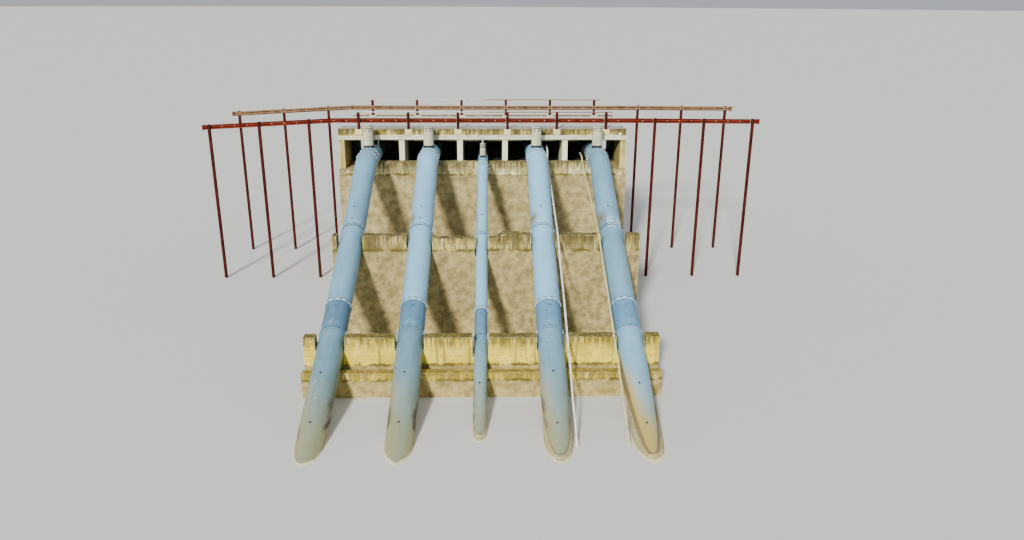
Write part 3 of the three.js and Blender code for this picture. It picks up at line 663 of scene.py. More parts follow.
# Most of the mask for grime and painted shade.
MOST_GRIME_AND_SHADE = 1.2
PIPE_FINISHES = {"spool": (steel_blue, "spool_paint"), "foot": (foot_blue, "pipe_paint")}


def marks_at(*marks):
    """Sum of marks: strength · e to the power of -(distance from the mark's place / its width) squared."""
    return sum(most * np.exp(-((distance - place) / width) ** 2) for most, distance, place, width in marks)


def marks(points, x, radius, joints, number):
    """Masks over a pipe's points by place: grime with painted shade, chalk and scuffs follow the distance to
    a joint along the slope, chalk and painted shade the bend's bands, stains the upper joint's left and the
    foot's left flank, painted shade darkens the length under the deck, and silt and the tide mark rise from
    crown to side by the pipe's own shares."""
    _, y, z = points.T
    side = (points[:, 0] - x) / radius
    _, upper, middle, lower = [
        (y - at_y) * np.cos(MEAN_SLOPE) + (z - at_z) * np.sin(MEAN_SLOPE) for at_y, at_z in joints]
    dotted = 0.6 + 0.4 * np.cos(11 * np.arcsin(np.clip(side, -1, 1)))
    on_crown = marks_at((1, side, 0.0, 0.6))
    facing_middle = marks_at((0.65, side * -np.sign(x), 0.9, 0.6))
    # Dark arcs at the couplings' rings are painted shade with some grime; the blotches on the upper length
    # and the patch on the spool are grime.
    grime = marks_at((0.9, upper, 0.088, 0.030), (1.2, upper, -0.045, 0.036), (0.8, middle, 0.11, 0.028),
                     (0.5, middle, -0.12, 0.03), (0.8, lower, 0.0, 0.026), (0.8, lower, -0.12, 0.026),
                     (0.3 * rough(y, side, 0.2, number), upper, 0.5, 0.25),
                     (marks_at((0.55, side, 0.05, 0.32)), middle, -0.42, 0.10))
    # Under the deck the pipe is painted near black: painted shade.
    grime += MOST_GRIME_AND_SHADE * np.clip((y - DECK_FACE - 0.1) / 0.5, 0, 1) * (y < INLET_Y - 0.3)
    chalk = marks_at((0.6, upper, -0.11, 0.024), (0.60 * (0.70 + 0.30 * dotted), middle, 0.04, 0.12),
                     (0.42 * dotted, lower, 0.085, 0.03), (0.36, lower, -0.065, 0.03))
    for place in BANDS[number]:
        off = (y - place - DECK_FACE) * np.cos(BAND_LEAN) + (z - joints[0][1]) * np.sin(BAND_LEAN)
        chalk += marks_at((0.95 * (0.35 + facing_middle), off, 0, 0.034))
        # Painted shade beside each raised band.
        grime += marks_at((0.6, np.abs(off), 0.052, 0.018))
    scuff = marks_at((UPPER_SCUFF[number] * (side > -0.35), upper, 0.15, 0.38),
                     (0.30 * on_crown, lower, 0.32, 0.13))
    stain = marks_at((marks_at((UPPER_STAIN[number], side, -0.8, 0.35)), upper, 0.70, 0.42),
                     (FOOT_STAIN[number] * on_crown, z, 0.44, 0.42),
                     (FLANK_STAIN[number] * np.clip((1.9 - z) / 0.7, 0, 1) * (lower < 0), side, -0.8, 0.5))
    crown, rise, thin, wide = SILT[number]
    length, spool, foot = FADE[number]
    return {"grime": np.clip(grime, 0, MOST_GRIME_AND_SHADE), "scuff": np.clip(scuff, 0, 1),
            "stain": np.clip(stain, 0, 1), "chalk": np.clip(chalk, 0, 1),
            "silt": crown + rise * side ** 4, "tide": thin + wide * side ** 2,
            "fade": np.where(lower < 0, foot, np.where(middle < 0, spool, length))}


def show_pipe(part, points, number):
    """Shows one length of pipe in place of its node, with its marks."""
    x, radius = PIPES[number]
    name = f"pipe_{number}_{part}"
    finish, slot = PIPE_FINISHES.get(part, (blue_grey, "pipe_paint"))
    shell = outward(grid(points, round_rows=True, round_columns=True))
    masks = marks(shell[0], x, radius, corners(radius), number)
    show(name + "_steel", shell, finish, slot, name, crease=30, **masks)


def bend_start(corner):
    """Where along y the level run ends: the bend's radius · tan(half the slope) before the corner."""
    return corner[0] + BEND_RADIUS * np.tan(SLOPES[0] / 2)


def bend_ring(corner, y, lean, radius):
    """Ring where the centre line is at y: on the level run, or past its end on an arc of the bend's radius
    that has turned by arcsin(way past the end / bend radius)."""
    turn = np.arcsin(np.clip((bend_start(corner) - y) / BEND_RADIUS, 0, np.sin(SLOPES[0])))
    return y, corner[1] - BEND_RADIUS * (1 - np.cos(turn)), lean, 1 / np.cos(lean - turn), radius


def head_rings(corner, radius, bands):
    """Rings of the level run and the bend: the inlet's flange, the tube under the deck, and the bend with a
    raised band at each of its two joints; the rings lean over gradually, and alike round a band."""
    flange = [(0, 0.11), (-0.04, 0.11), (-0.045, 0.105), (-0.045, 0.008), (-0.06, 0.0)]
    rows = [(INLET_Y + y, corner[1], 0.0, 1.0, radius + proud) for y, proud in flange]
    end = bend_start(corner) - BEND_RADIUS * np.sin(SLOPES[0]) - DECK_FACE
    level = [(y, 0.0, 0.0) for y in np.linspace(6.5, bands[0] + 0.4, 16)]
    level += [(bands[0] + 0.25, BAND_LEAN / 2, 0.0)]
    half_band = ((0.09, 0.0), (0.05, 0.0), (0.024, 0.0), (0.02, BAND_RISE))
    raised = [(place - side * off, BAND_LEAN, proud) for place in bands for side in (-1, 1)
              for off, proud in half_band]
    between_bands = [(y, BAND_LEAN, 0.0) for y in np.linspace(*bands, 6)[1:-1]]
    last = [(y, BAND_LEAN + (SLOPES[0] - BAND_LEAN) * share, 0.0) for share, y in
            zip(np.linspace(0.2, 1, 5), np.linspace(min(bands[1] - 0.16, end + 0.25), end, 5))]
    for y, lean, proud in sorted(level + raised + between_bands + last, reverse=True):
        rows.append(bend_ring(corner, y + DECK_FACE, lean, radius + proud))
    return rows


for number, (x, radius) in PIPES.items():
    bore = radius - WALL[radius]
    bend, _, _, lower = joints = corners(radius)
    last_length = lower[1] / np.sin(SLOPES[3])
    joints = [*joints, slid(lower, SLOPES[3], last_length)]
    body = [(d, 0.0) for d in np.linspace(0.6, 5.6, 40)]
    rows = head_rings(bend, radius, BANDS[number]) + run_of(joints, 0, radius, body + half_coupling(True))
    bore_rows = [(INLET_Y, bend[1], 0.0, 1.0, bore)]
    for turn in np.linspace(0, SLOPES[0], 10):
        bore_rows.append(bend_ring(bend, bend_start(bend) - BEND_RADIUS * np.sin(turn), turn, bore))
    bore_rows += run_of(joints, 0, bore, [(-HALF_GAP, 0.0)])
    show_pipe("head", tube(x, rows + bore_rows[::-1]), number)
    for part, name in ((1, "middle"), (2, "spool")):
        length = np.hypot(*np.subtract(joints[part + 1], joints[part]))
        body = [(d, 0.0) for d in np.linspace(0.4, length - 0.4, int(length / 0.12))]
        rows = run_of(joints, part, radius, half_coupling(False) + body + half_coupling(True))
        bore_rows = run_of(joints, part, bore, [(-HALF_GAP, 0.0), (HALF_GAP, 0.0)])
        show_pipe(name, tube(x, rows + bore_rows), number)
    body = [(d, 0.0) for d in np.linspace(0.4, last_length - 3 * radius, 30)]
    outside = tube(x, run_of(joints, 3, radius, half_coupling(False) + body))
    inside = tube(x, run_of(joints, 3, bore, [(HALF_GAP, 0.0)]))
    ends = [to_base(outside[-1], 12), to_base(inside[0], 1)]
    show_pipe("foot", np.concatenate([outside, *ends, inside]), number)

# Fastenings of the pipes: lugs with a bolt that close each coupling's clamp rings, bolts round the bands and
# inlet flanges, and small screwed plugs on the crowns. Rolled steel, galvanised or tarred; lugs are welded.
LUG_ANGLES = np.radians([-76, 76])
LUG_REACH = 0.07
LUG_BOLT_REACH = 0.115
RING_MIDDLE = 0.049
RING_BOLTS = 12
BAND_BOLTS = {LARGE: 18, SLIM: 10}
BAND_BOLT_OFF = 0.034
FLANGE_BOLTS = {LARGE: 28, SLIM: 16}
# How far up from the upper joint and down from the lowest joint each pipe's plugs are.
PLUGS = {1: (0.52, 1.5), 2: (0.52, 1.5), 3: (1.5,), 4: (1.5,), 5: (1.5,)}
FOOT_PLUGS = {1: (2.8, 5.47), 2: (2.8, 5.5), 3: (2.92,), 4: (2.8, 5.6), 5: (3.5, 5.64)}


def fastener(at, way, *parts):
    """Prisms on one axis through each point: each part goes from one multiple of the way to another, with its
    own radius and number of sides."""
    at, way = np.asarray(at, float), np.asarray(way, float)
    return together([rods(at + way * a, at + way * b, radius, sides) for a, b, radius, sides in parts])


def on_pipe(number, corner, slope, distance, angle, rise=0.0):
    """Point over a pipe's surface, so far down a slope from a corner and at an angle from the crown, and the
    direction straight out of the surface there."""
    x, radius = PIPES[number]
    out = np.array([np.sin(angle), -np.sin(slope) * np.cos(angle), np.cos(slope) * np.cos(angle)])
    return np.array([x, *slid(corners(radius)[corner], slope, distance)]) + (radius + rise) * out, out


bare_steel = spotted("galvanised fastenings", (14.0, 5.0), (0.52, 0.66), (0.78, 0.80, 0.80),
                     (0.24, 0.20, 0.16), (-0.5, 1.2), (0.006, 30.0), Metallic=0.25, Specular_IOR_Level=0.5)
dark_steel = spotted("tarred plugs", (25.0, 4.0), (0.40, 0.65), (0.035, 0.035, 0.04),
                     (0.12, 0.07, 0.045), (-0.6, 1.0), Metallic=0.2, Specular_IOR_Level=0.4)
for number, (x, radius) in PIPES.items():
    lugs, bolts, plugs = [], [], []
    for corner, slope in zip((1, 2, 3), SLOPES):
        for angle in LUG_ANGLES:
            low, high = (on_pipe(number, corner, slope, side * LUG_REACH, angle, 0.006)[0]
                         for side in (-1, 1))
            lugs.append(fastener(low, high - low, (0, 2 / 7, 0.045, 6), (5 / 7, 1, 0.045, 6)))
            low, high = (on_pipe(number, corner, slope, side * LUG_BOLT_REACH, angle, 0.030)[0]
                         for side in (-1, 1))
            bolts.append(fastener(low, high - low, (0, 1, 0.011, 10), (0.1, 0.19, 0.019, 6),
                                  (0.81, 0.9, 0.019, 6)))
    above = [(1, SLOPES[0], -d) for d in PLUGS[number]] + [(3, SLOPES[3], d) for d in FOOT_PLUGS[number]]
    for corner, slope, distance in above:
        plugs.append(fastener(*on_pipe(number, corner, slope, distance, -0.08), (-0.01, 0.005, 0.052, 24),
                              (0.005, 0.016, 0.036, 20), (0.016, 0.036, 0.022, 6)))
    for angle in (np.arange(RING_BOLTS) + 0.5) * 2 * np.pi / RING_BOLTS:
        plugs.append(fastener(*on_pipe(number, 2, SLOPES[1], -RING_MIDDLE, angle), (0.018, 0.034, 0.026, 6)))
        bolts.append(fastener(*on_pipe(number, 3, SLOPES[2], -RING_MIDDLE, angle), (0.018, 0.034, 0.020, 6)))
    for y in [place + side + DECK_FACE for place in BANDS[number]
              for side in (-BAND_BOLT_OFF, BAND_BOLT_OFF)]:
        y, z, lean, stretch, _ = bend_ring(corners(radius)[0], y, BAND_LEAN, 0)
        for angle in np.radians(np.arange(BAND_BOLTS[radius]) * 360 / BAND_BOLTS[radius] + 12):
            rise = np.cos(angle) * stretch
            out = [np.sin(angle), -np.sin(lean) * rise, np.cos(lean) * rise]
            bolts.append(fastener([x, y, z], out, (radius - 0.004, radius + 0.036, 0.024, 6)))
    turn = (np.arange(FLANGE_BOLTS[radius]) + 0.5) * 2 * np.pi / FLANGE_BOLTS[radius]
    circle = (radius + 0.062) * np.stack([np.sin(turn), 0 * turn, np.cos(turn)], -1)
    bolts.append(fastener(circle + [x, INLET_Y, corners(radius)[0][1]], [0, -1, 0], (0.046, 0.075, 0.018, 6)))
    head = f"pipe_{number}_head"
    show(f"pipe_{number}_lugs", together(lugs), blue_grey, "pipe_paint", head, fade=FADE[number][0])
    show(f"pipe_{number}_bolts", together(bolts), bare_steel, "pipe_paint", head)
    show(f"pipe_{number}_plugs", together(plugs), dark_steel, "pipe_paint", head)

# Air vents over the bends: steel caps with a lid on top and eight round air holes under it, standing on a
# welded collar. The warm grey paint is paler to the left, as chalking and as painted light from that side;
# painted shade lies under the lid, round the holes, in the seam and on the collar's top.
VENT_Y = -1.0 + DECK_FACE
# Radius, height, radius of the neck, and columns of points round it.
VENT_SIZES = {LARGE: (0.3, 1.18, 0.245, 96), SLIM: (0.165, 0.79, 0.13, 48)}
SEAM = 0.03
SEAT_GAP = 0.0003
SHEET = 0.012
HOLE = 0.034
HOLE_BELOW_TOP = 0.2
SPOUT_RISE = 0.34
FIVE = np.arange(5)
BORDER = np.array([*((0, j) for j in FIVE), *((i, 4) for i in FIVE[1:]), *((4, j) for j in FIVE[3::-1]),
                   *((i, 0) for i in FIVE[3:0:-1])])


def drilled(profile, outer_row, inner_row, columns, x, y):
    """Round wall from a profile of (radius, height) that starts and ends near the axis, with eight holes: in
    both skins a block of 4 by 4 faces is left out, its 16 border points are moved onto a circle, and strips
    join the two circles."""
    spin = np.arange(columns) * 2 * np.pi / columns
    radius, height, angle = (np.array(np.broadcast_to(values, (len(profile), columns)))
                             for values in (profile[:, :1], profile[:, 1:], spin))
    number = np.arange(radius.size).reshape(radius.shape)
    keep = np.ones((len(profile) - 1, columns), bool)
    strips = []
    for first in np.arange(8) * columns // 8 + columns // 16 - 2:
        j = first + BORDER[:, 1]
        loops = []
        for row, i in ((outer_row, outer_row + BORDER[:, 0]), (inner_row, inner_row + 4 - BORDER[:, 0])):
            middle = profile[row + 2, 1]
            away = np.arctan2(height[i, j] - middle, (spin[j] - spin[first + 2]) * profile[row, 0])
            angle[i, j] = spin[first + 2] + HOLE * np.cos(away) / profile[row, 0]
            height[i, j] = middle + HOLE * np.sin(away)
            keep[row:row + 4, first:first + 4] = False
            loops.append(number[i, j])
        strips.append(np.stack([loops[0], np.roll(loops[0], -1), np.roll(loops[1], -1), loops[1]], -1))
    points = spread(x + radius * np.cos(angle), y + radius * np.sin(angle), height).reshape(-1, 3)
    faces = np.concatenate([quads_of(np.hstack([number, number[:, :1]]))[keep], *strips])
    ends = [number[:1, ::-1], number[-1:]]
    used = np.unique(np.concatenate([faces.ravel(), *(e.ravel() for e in ends)]))
    renumbered = np.zeros(len(points), int)
    renumbered[used] = np.arange(len(used))
    return outward((points[used], [renumbered[faces], *(renumbered[e] for e in ends)]))


def vent_profile(radius, foot, top, pitch):
    """Outside from the lid's middle down to the foot, then the inside back up, both with five rows for the
    holes; with the first such row of each."""
    drill = top - HOLE_BELOW_TOP + pitch * np.array([2, 1, 0, -1, -2])
    bore = radius - SHEET
    lid = [(0.02, top), (radius * 0.6, top - 0.001), (radius - 0.02, top - 0.006),
           (radius + 0.004, top - 0.016), (radius + 0.006, top - 0.024), (radius + 0.006, top - 0.05),
           (radius + 0.001, top - 0.054)]
    wall = [(radius, z) for z in (top - 0.07, drill[0] + 0.012, *drill, drill[-1] - 0.012,
                                  *np.linspace(drill[-1] - 0.08, foot + 0.105, 7), foot + 0.085)]
    base = [(radius - 0.004, foot + 0.08), (radius - 0.03, foot + 0.075), (radius - 0.03, foot)]
    inside = [(radius - 0.04, foot), (radius - 0.04, foot + 0.09), (bore, foot + 0.11),
              *((bore, z) for z in drill[::-1]), (bore, top - 0.035), (0.02, top - 0.03)]
    outside = lid + wall + base
    return np.array(outside + inside), len(lid) + 2, len(outside) + 3


vent_paint = pipe_paint("warm grey vent paint", (0.40, 0.42, 0.30), (0.66, 0.66, 0.42))
for number, (x, radius) in PIPES.items():
    wide, tall, neck, columns = VENT_SIZES[radius]
    level = corners(radius)[0][1]
    seat = level + radius + SEAM
    foot = seat + SEAT_GAP
    top = foot + tall
    shell = drilled(*vent_profile(wide, foot, top, 2 * np.pi * wide / columns), columns, x, VENT_Y)
    if radius == SLIM:
        shell = together([shell, fastener([x, VENT_Y, top], [0, 0, 1], (-0.02, SPOUT_RISE, 0.05, 32))])
    across, deep, high = shell[0].T
    depth, seam, turn = top - high, high - foot, np.arctan2(across - x, VENT_Y - deep)
    streak = rough(turn * 3 + 9, high * 0.4 + 3, 0.3, 40 + number)
    from_hole = np.hypot((np.mod(turn, np.pi / 4) - np.pi / 8) * wide, depth - HOLE_BELOW_TOP)
    # Painted shade under the lid's rim, round the holes, above the seam and near black in the seam; dirt
    # streaks lower down.
    grime = marks_at((0.9, depth, 0.062, 0.016), (0.4, seam, 0.09, 0.02), (1.0, from_hole, HOLE, 0.012))
    grime += MOST_GRIME_AND_SHADE * (seam < 0.081) + 0.30 * streak ** 2 * (depth > 0.2)
    # The paint is paler towards the left: chalking, and painted light from that side.
    show(f"pipe_{number}_vent_cap", shell, vent_paint, "vent_paint", f"pipe_{number}_vent", crease=30,
         grime=np.clip(grime, 0, MOST_GRIME_AND_SHADE), stain=0.3 * streak ** 3, fade=0.5 - 0.5 * np.sin(turn))
    spin = np.linspace(0, 2 * np.pi, 72, endpoint=False)
    collar, collar_z = np.array([
        (wide + 0.012, 0.0), (wide + 0.012, seat - 0.008), (wide + 0.004, seat), (neck, seat),
        (neck, seat + 0.08), (neck - 0.02, seat + 0.08), (neck - 0.02, 0.0)]).T[..., None]
    shoulder = np.sqrt(np.clip(radius ** 2 - (collar * np.cos(spin)) ** 2, 0, None)) + level - 0.012
    collar_z = np.where(collar_z > 0, collar_z, shoulder)
    rings = spread(x + collar * np.cos(spin), VENT_Y + collar * np.sin(spin), collar_z)
    shell = outward(grid(rings, round_rows=True, round_columns=True))
    # The collar's top under the cap is painted near black as shade.
    show(f"pipe_{number}_vent_collar", shell, blue_grey, "pipe_paint", f"pipe_{number}_head", crease=30,
         grime=MOST_GRIME_AND_SHADE * (shell[0][:, 2] > seat - 0.02), fade=FADE[number][0])

# Conduits for cables: two along the foot of the front edge beam with junction boxes, and two that come out
# of the culvert and run down beside pipes 4 and 5. Painted steel tube, held by clips and saddles.
BEAM_CONDUITS = (9.1, 8.95)
BEAM_CONDUIT_Y = -0.0853 + DECK_FACE
BEAM_CONDUIT_ENDS = (-6.4, 8.3)
MIDDLE_BOX = 3.6
CLIP_SPACING = 1.2
CONDUIT = 0.035
SLOPE_CONDUIT = 0.045
FRONT_EDGES = [(SILL_FRONT, SILL_TOP), (MIDDLE_FRONT, MIDDLE_TOP), (LOWER_FRONT, LOWER_TOP)]
WALL_EDGES = [(y - 0.02, z + SLOPE_CONDUIT + 0.002) for y, z in FRONT_EDGES]


def slab(x, half, y0, y1, z0, z1, bevel=0.006):
    """Block to each side of x, with its upright edges and its top's edges cut off at 45 degrees."""
    rows = []
    for inset, z in ((0, z0), (0, z1 - bevel), (bevel, z1)):
        a, b, c, d = x - half + inset, x + half - inset, y0 + inset, y1 - inset
        rows.append([(b, d - bevel, z), (b - bevel, d, z), (a + bevel, d, z), (a, d - bevel, z),
                     (a, c + bevel, z), (a + bevel, c, z), (b - bevel, c, z), (b, c + bevel, z)])
    return outward(grid(np.array(rows, float), round_columns=True, caps=True))


def along(path, radius, sides=16):
    """Round bar along a path: each ring stands square to the mean direction of its two stretches."""
    step = unit(np.diff(path, axis=0))
    ahead = unit(np.vstack([step[:1], step[:-1] + step[1:], step[-1:]]))
    side = unit(np.cross(ahead, [0, 0, 1.0]))
    turn = np.linspace(0, 2 * np.pi, sides, endpoint=False)[:, None]
    ring = side[:, None] * np.cos(turn) + np.cross(side, ahead)[:, None] * np.sin(turn)
    return outward(grid(path[:, None] + radius * ring, round_columns=True, caps=True))


def conduit_paint(name, paint, faded):
    """Old light paint on conduit: clouds, dark dirt in spots and patches, and rust at the edges."""
    mix = finish_of(name, Specular_IOR_Level=0.4)
    fine = mix.speckle(16.0, 5.0)
    colour = mix.coats(
        paint,
        (faded, mix.patches(0.38, 0.62, 1.3, 5.0)),
        ((0.22, 0.19, 0.14), mix.between(fine, 0.56, 0.70), 0.5),
        ((0.33, 0.31, 0.24), mix.patches(0.52, 0.62, 3.2, 6.0, (1, 1, 1), 0.7), 0.55),
        ((0.30, 0.19, 0.11), mix.worn(0.012, 20.0), 0.6))
    return mix.surface(colour, mix.between(fine, -0.6, 1.1), fine, 0.003)


white_conduit = conduit_paint("white conduit paint", (0.95, 0.95, 0.88), (0.84, 0.84, 0.74))
yellowed_conduit = conduit_paint("yellowed conduit paint", (0.76, 0.70, 0.30), (0.62, 0.58, 0.30))
left, right = BEAM_CONDUIT_ENDS
stations = np.arange(left, right, 0.2)
sag = 0.007 * np.sin(np.pi * (stations - left) / CLIP_SPACING) ** 2
runs = [along(spread(stations, BEAM_CONDUIT_Y, z - sag), CONDUIT) for z in BEAM_CONDUITS]
runs.append(rods([left + 0.06, BEAM_CONDUIT_Y, 8.42], [left + 0.06, BEAM_CONDUIT_Y, 8.95], 0.024, 16))
clips, boxes = [], []
for z in BEAM_CONDUITS:
    for x in np.arange(left + CLIP_SPACING, right - 0.3, CLIP_SPACING):
        clips.append(fastener([x, BEAM_CONDUIT_Y, z], [1, 0, 0], (-0.018, 0.018, CONDUIT + 0.006, 20)))
        clips.append(slab(x, 0.018, BEAM_CONDUIT_Y, BEAM_CONDUIT_Y + 0.036, z - 0.062, z + 0.062, 0.003))
for x in (left, MIDDLE_BOX, right):
    boxes.append(slab(x, 0.11, BEAM_CONDUIT_Y - 0.09, BEAM_CONDUIT_Y + 0.033, 8.9, 9.16, 0.012))
    boxes.append(slab(x, 0.095, BEAM_CONDUIT_Y - 0.098, BEAM_CONDUIT_Y - 0.09, 8.915, 9.145, 0.004))
boxes.append(slab(right + 0.06, 0.08, -0.15 + DECK_FACE, -0.02 + DECK_FACE, 9.17, 9.3, 0.012))
show("beam_conduit_runs", together(runs), white_conduit, "conduit_paint", "edge_conduits")
show("beam_conduit_clips", together(clips), bare_steel, "conduit_paint", "edge_conduits")
show("beam_conduit_boxes", together(boxes), white_conduit, "conduit_paint", "edge_conduits")

for name, x, culvert_z, finish in (("slope_conduit_4", 3.93, 8.35, white_conduit),
                                   ("slope_conduit_5", 6.05, 7.9, yellowed_conduit)):
    route = np.array([(0.9, culvert_z), (-0.15, culvert_z - 0.02), *WALL_EDGES, (-20.8, 0.06)])
    reached = np.concatenate([[0], np.cumsum(np.linalg.norm(np.diff(route, axis=0), axis=1))])
    near_bends = [d + np.linspace(-0.18, 0.18, 7) for d in reached[1:-1]]
    way = np.unique(np.concatenate([np.arange(0, reached[-1], 0.35), *near_bends, reached[-1:]]))
    y, z = (sum(np.interp(way + off, reached, column) for off in (-0.12, -0.06, 0, 0.06, 0.12)) / 5
            for column in route.T)
    sway = 0.010 * np.sin(way * 1.1) * np.sin(way * 0.37) * np.clip((reached[-1] - way) / 2, 0, 1)
    parts = [along(spread(x + sway, y + DECK_FACE, z), SLOPE_CONDUIT)]
    for d in np.arange(1.5, reached[-1] - 1, 3.0):
        ends = [[x, np.interp(s, way, y) + DECK_FACE, np.interp(s, way, z)] for s in (d - 0.06, d + 0.06)]
        parts.append(rods(*ends, SLOPE_CONDUIT + 0.009, 20))
    show(name + "_run", together(parts), finish, "conduit_paint", name)
    saddles = []
    for y, z in WALL_EDGES:
        near = y + 0.05 + DECK_FACE
        saddles.append(slab(x, 0.065, near, near + 0.08, z - 0.0467, z))
        ends = [x, near + 0.02, z + 0.012], [x, near + 0.06, z + 0.022]
        saddles.append(rods(*ends, SLOPE_CONDUIT + 0.007, 20))
    show(name + "_saddles", together(saddles), bare_steel, "conduit_paint", name)

# Road barriers on both edges of the deck: posts of rolled H-section on base plates, two-wave steel rails
# lapped and bolted at the posts, and a tubular handrail along the deck. Weathering steel, bare and rusted,
# redder on the front side; bolts and washers are galvanised. Beyond the deck the posts run to the base.
POST = 0.16
POST_TALL = 1.02
LOW_POST = 0.17
RAIL_CENTRE = 0.5
RAIL_DEPTH = 0.28
RAIL_WAVE = 0.035
RAIL_SHEET = 0.006
RAIL_TAIL = 0.36
LAP = 0.16
JOGGLE = 0.05
BASE_PLATE = 0.02
HANDRAIL_ENDS = (-7.7, 7.9)
RAIL_BOLTS = POST_SPACING / 4
APPROACH = (9.0, 16.95)
FALLS = (0.43, 0.05)


def rail_height(x):
    """Height of the rail's middle: level along the deck, then falling evenly along each approach."""
    near, far = APPROACH
    fall = np.where(np.asarray(x) < 0, *FALLS)
    return DECK_TOP + RAIL_CENTRE - fall * np.clip(np.abs(x) - near, 0, None) / (far - near)


def rail(posts, x0, x1, face, away):
    """Lengths of rail from post to post: depth = wave · (1 - cos(4 · pi · height / depth of the rail)),
    pushed out by its own thickness where it laps over the next, and opened flat into a fishtail at a
    barrier's end."""
    high = np.linspace(-0.5, 0.5, 25)
    shells = []
    for a, b in zip([x0, *posts], [*posts, x1]):
        a, b = max(a - LAP, x0), min(b + LAP, x1)
        x = np.unique([*np.linspace(a, b, 14), b - RAIL_TAIL, b - 0.30, a + 0.30, a + RAIL_TAIL])[:, None]
        lap = np.clip((x - (b - RAIL_TAIL)) / JOGGLE, 0, 1) * (b < x1)
        tail = np.clip(1 - (APPROACH[1] - np.abs(x)) / RAIL_TAIL, 0, 1)
        tail = tail * tail * (3 - 2 * tail)
        out = RAIL_WAVE * (1 - np.cos(4 * np.pi * high)) * (1 - 0.85 * tail) + RAIL_SHEET * lap
        z = rail_height(x) + high * RAIL_DEPTH * (1 + 0.12 * tail)
        near, far = (spread(x, face + away * (out + skin), z) for skin in (0.0005, RAIL_SHEET))
        shells.append(outward(grid(np.concatenate([near, far[:, ::-1]], 1), round_columns=True, caps=True)))
    return together(shells)


def h_post(x, y, z0, z1):
    """Rolled H-section on end, its flanges towards the deck and away from it."""
    half, flange, web = POST / 2, 0.013, 0.004
    turn = [(half, half), (-half, half), (-half, half - flange), (-web, half - flange),
            (-web, flange - half), (-half, flange - half), (-half, -half), (half, -half),
            (half, flange - half), (web, flange - half), (web, half - flange), (half, half - flange)]
    rows = [[(x + a, y + b, z) for a, b in turn] for z in (z0, z1)]
    return outward(grid(np.array(rows), round_columns=True, caps=True))


def rusted_steel():
    """Weathered bare steel: a base tone with darker and brighter rust in clouds, dark run-off lines, a dusty
    pale tone where it faces up, and dull, grainy roughness."""
    mix = group("rusted steel", ["Tone", "Bright", "Dust"], [])
    take, clouds, fine = mix.takes, mix.speckle(2.2, 6.0), mix.speckle(40.0, 5.0)
    colour = mix.coats(
        take["Tone"],
        (take["Bright"], mix.between(clouds, 0.38, 0.66)),
        ((0.06, 0.022, 0.014), mix.patches(0.52, 0.66, 12.0, 4.0, (1, 1, 0.12)), 0.6),
        ((0.10, 0.04, 0.02), mix.between(fine, 0.55, 0.72), 0.5),
        (take["Dust"], mix.between(mix.facing_up(), 0.25, 0.85), mix.between(clouds, 0.20, 0.50), 0.75))
    return mix.give(colour, mix.between(fine, -1.2, 0.7), mix.both(fine, 0.6, clouds, 0.4))


RUSTED_STEEL = rusted_steel()


def barrier_steel(name, tone, bright, dust, painted_sheen_left_of=None):
    """One tone of rusted steel with worn edges; a handrail also gets a painted sheen, paler, left of a place.
    """
    mix = finish_of(name, Metallic=0.1, Specular_IOR_Level=0.12)
    colour, *rest = mix.use(RUSTED_STEEL, Tone=tone, Bright=bright, Dust=dust)
    colour = mix.coats(colour, (bright, mix.worn(0.008, 14.0), 0.7))
    if painted_sheen_left_of is not None:
        # Left of the place the rail is painted paler: a painted sheen of the sun.
        painted_sheen = mix.between(mix.split(mix.place)[0], painted_sheen_left_of + 0.6, painted_sheen_left_of - 0.6)
        colour = mix.coats(colour, ((0.66, 0.60, 0.48), painted_sheen, mix.patches(0.66, 0.58, 5.0, 5.0)))
    return mix.surface(colour, *rest, 0.004)


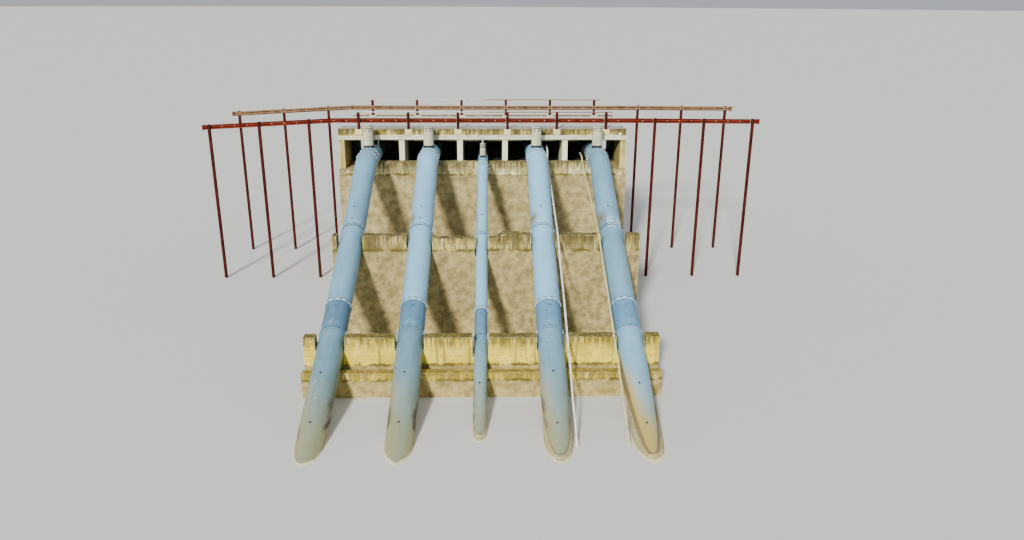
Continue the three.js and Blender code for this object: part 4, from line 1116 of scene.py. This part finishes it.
post_steel = barrier_steel("post steel", (0.040, 0.006, 0.003), (0.075, 0.010, 0.005), (0.13, 0.03, 0.015))
river_rail = barrier_steel("river rail steel", (0.08, 0.003, 0.0015), (0.15, 0.008, 0.003),
                           (0.22, 0.05, 0.02))
land_rail = barrier_steel("land rail steel", (0.12, 0.048, 0.016), (0.19, 0.085, 0.03), (0.36, 0.24, 0.14))
handrail = barrier_steel("handrail steel", (0.20, 0.06, 0.03), (0.32, 0.13, 0.07), (0.52, 0.34, 0.24), 0.0)
for side, outer, away, rail_finish in (("river", DECK_FACE, 1, river_rail),
                                       ("land", DECK_FACE + ROAD_WIDTH - POST, -1, land_rail)):
    middle_y = outer + POST / 2
    face = middle_y + away * POST / 2
    for part, x0, x1, foot in (("left", -APPROACH[1], -APPROACH[0] - SEAT_GAP, 0.0),
                               ("right", APPROACH[0] + SEAT_GAP, APPROACH[1], 0.0),
                               ("deck", -APPROACH[0], APPROACH[0], DECK_TOP + SEAT_GAP)):
        on_deck = part == "deck"
        name = f"barrier_{side}_{part}"
        post_places = POST_PLACES[(POST_PLACES > x0) & (POST_PLACES < x1)]
        posts, bolts = [], []
        for x in post_places:
            top = DECK_TOP + POST_TALL if on_deck else rail_height(x) + LOW_POST
            posts.append(h_post(x, middle_y, foot, top))
            if on_deck:
                posts.append(slab(x, 0.15, middle_y - 0.13, middle_y + 0.13, foot, foot + BASE_PLATE))
                at = [[x + a, middle_y + b, foot + BASE_PLATE] for a in (-0.115, 0.115) for b in (-0.1, 0.1)]
                bolts.append(fastener(at, [0, 0, 1], (0, 0.045, 0.010, 10), (0, 0.02, 0.019, 6)))
            at = [[x + a, face + away * 0.07, rail_height(x) + b] for a in (-0.1, 0.1) for b in (-0.07, 0.07)]
            bolts.append(fastener(at, [0, 1, 0], (-0.018, 0.024, 0.018, 16), (-0.03, 0.036, 0.011, 6)))
        middles = np.arange(np.ceil(x0 / RAIL_BOLTS) * RAIL_BOLTS, x1, RAIL_BOLTS)
        middles = middles[np.abs((middles / POST_SPACING) % 1 - 0.5) > 0.05]
        at = spread(middles, face, rail_height(middles))
        bolts.append(fastener(at, [0, away, 0], (-0.004, 0.010, 0.020, 18), (-0.02, 0.022, 0.014, 6)))
        show(name + "_posts", together(posts), post_steel, "weathering_steel", name)
        lengths = rail(post_places, x0, x1, face, away)
        show(name + "_rail", lengths, rail_finish, "weathering_steel", name, crease=50)
        show(name + "_bolts", together(bolts), bare_steel, "weathering_steel", name)
        if on_deck:
            ends = [[x, middle_y, DECK_TOP + POST_TALL] for x in HANDRAIL_ENDS]
            show(name + "_handrail", rods(*ends, 0.03, 24), handrail, "weathering_steel", name)

# Studio: a pale floor at the lowest level, one broad low sun from the front and a pale sky, with the camera
# at the photograph's place. None of it belongs to the outfall.
floor_finish = finish_of("pale floor", Roughness=0.9)
floor_finish.shader.inputs["Base Color"].default_value = (0.72, 0.72, 0.70, 1)
angle = np.linspace(0, 2 * np.pi, 96, endpoint=False)
reach = np.array([1.0, 30.0, 120.0, 1500.0])[:, None]
rings = spread(reach * np.cos(angle), reach * np.sin(angle), -0.002)
floor_points, floor_faces = grid(rings, round_columns=True)
floor_mesh = bpy.data.meshes.new("floor")
floor_mesh.from_pydata(floor_points.tolist(), [], floor_faces[0][:, ::-1].tolist() + [list(range(96))])
floor_mesh.materials.append(floor_finish.material)
floor = bpy.data.objects.new("floor", floor_mesh)
bpy.context.scene.collection.objects.link(floor)

sun = bpy.data.lights.new("sun", "SUN")
sun.energy = 5.6
sun.angle = np.radians(6)
sun.color = (1.0, 0.97, 0.92)
sun_place = bpy.data.objects.new("sun", sun)
sun_place.rotation_euler = (np.radians(64), 0, np.radians(-16))
bpy.context.scene.collection.objects.link(sun_place)
world = bpy.data.worlds.new("pale sky")
world.use_nodes = True
sky = world.node_tree.nodes["Background"].inputs
sky["Color"].default_value = (0.86, 0.90, 0.96, 1)
sky["Strength"].default_value = 0.55
bpy.context.scene.world = world

CAMERA_AT = np.array([0.5565, -48.7763 + DECK_FACE, 17.106])
YAW, PITCH, ROLL = 0.0257, 0.3288, 0.0044
ahead = np.array([np.sin(YAW) * np.cos(PITCH), np.cos(YAW) * np.cos(PITCH), -np.sin(PITCH)])
right = np.array([np.cos(YAW), -np.sin(YAW), 0])
up = np.cross(right, ahead)
right, up = np.cos(ROLL) * right + np.sin(ROLL) * up, np.cos(ROLL) * up - np.sin(ROLL) * right
lens = bpy.data.cameras.new("camera")
lens.sensor_width = 36
lens.lens = 28.125
lens.clip_end = 3000
camera = bpy.data.objects.new("camera", lens)
turned = np.column_stack([right, up, -ahead, CAMERA_AT])
camera.matrix_world = Matrix([*turned.tolist(), [0, 0, 0, 1]])
bpy.context.scene.collection.objects.link(camera)
bpy.context.scene.camera = camera
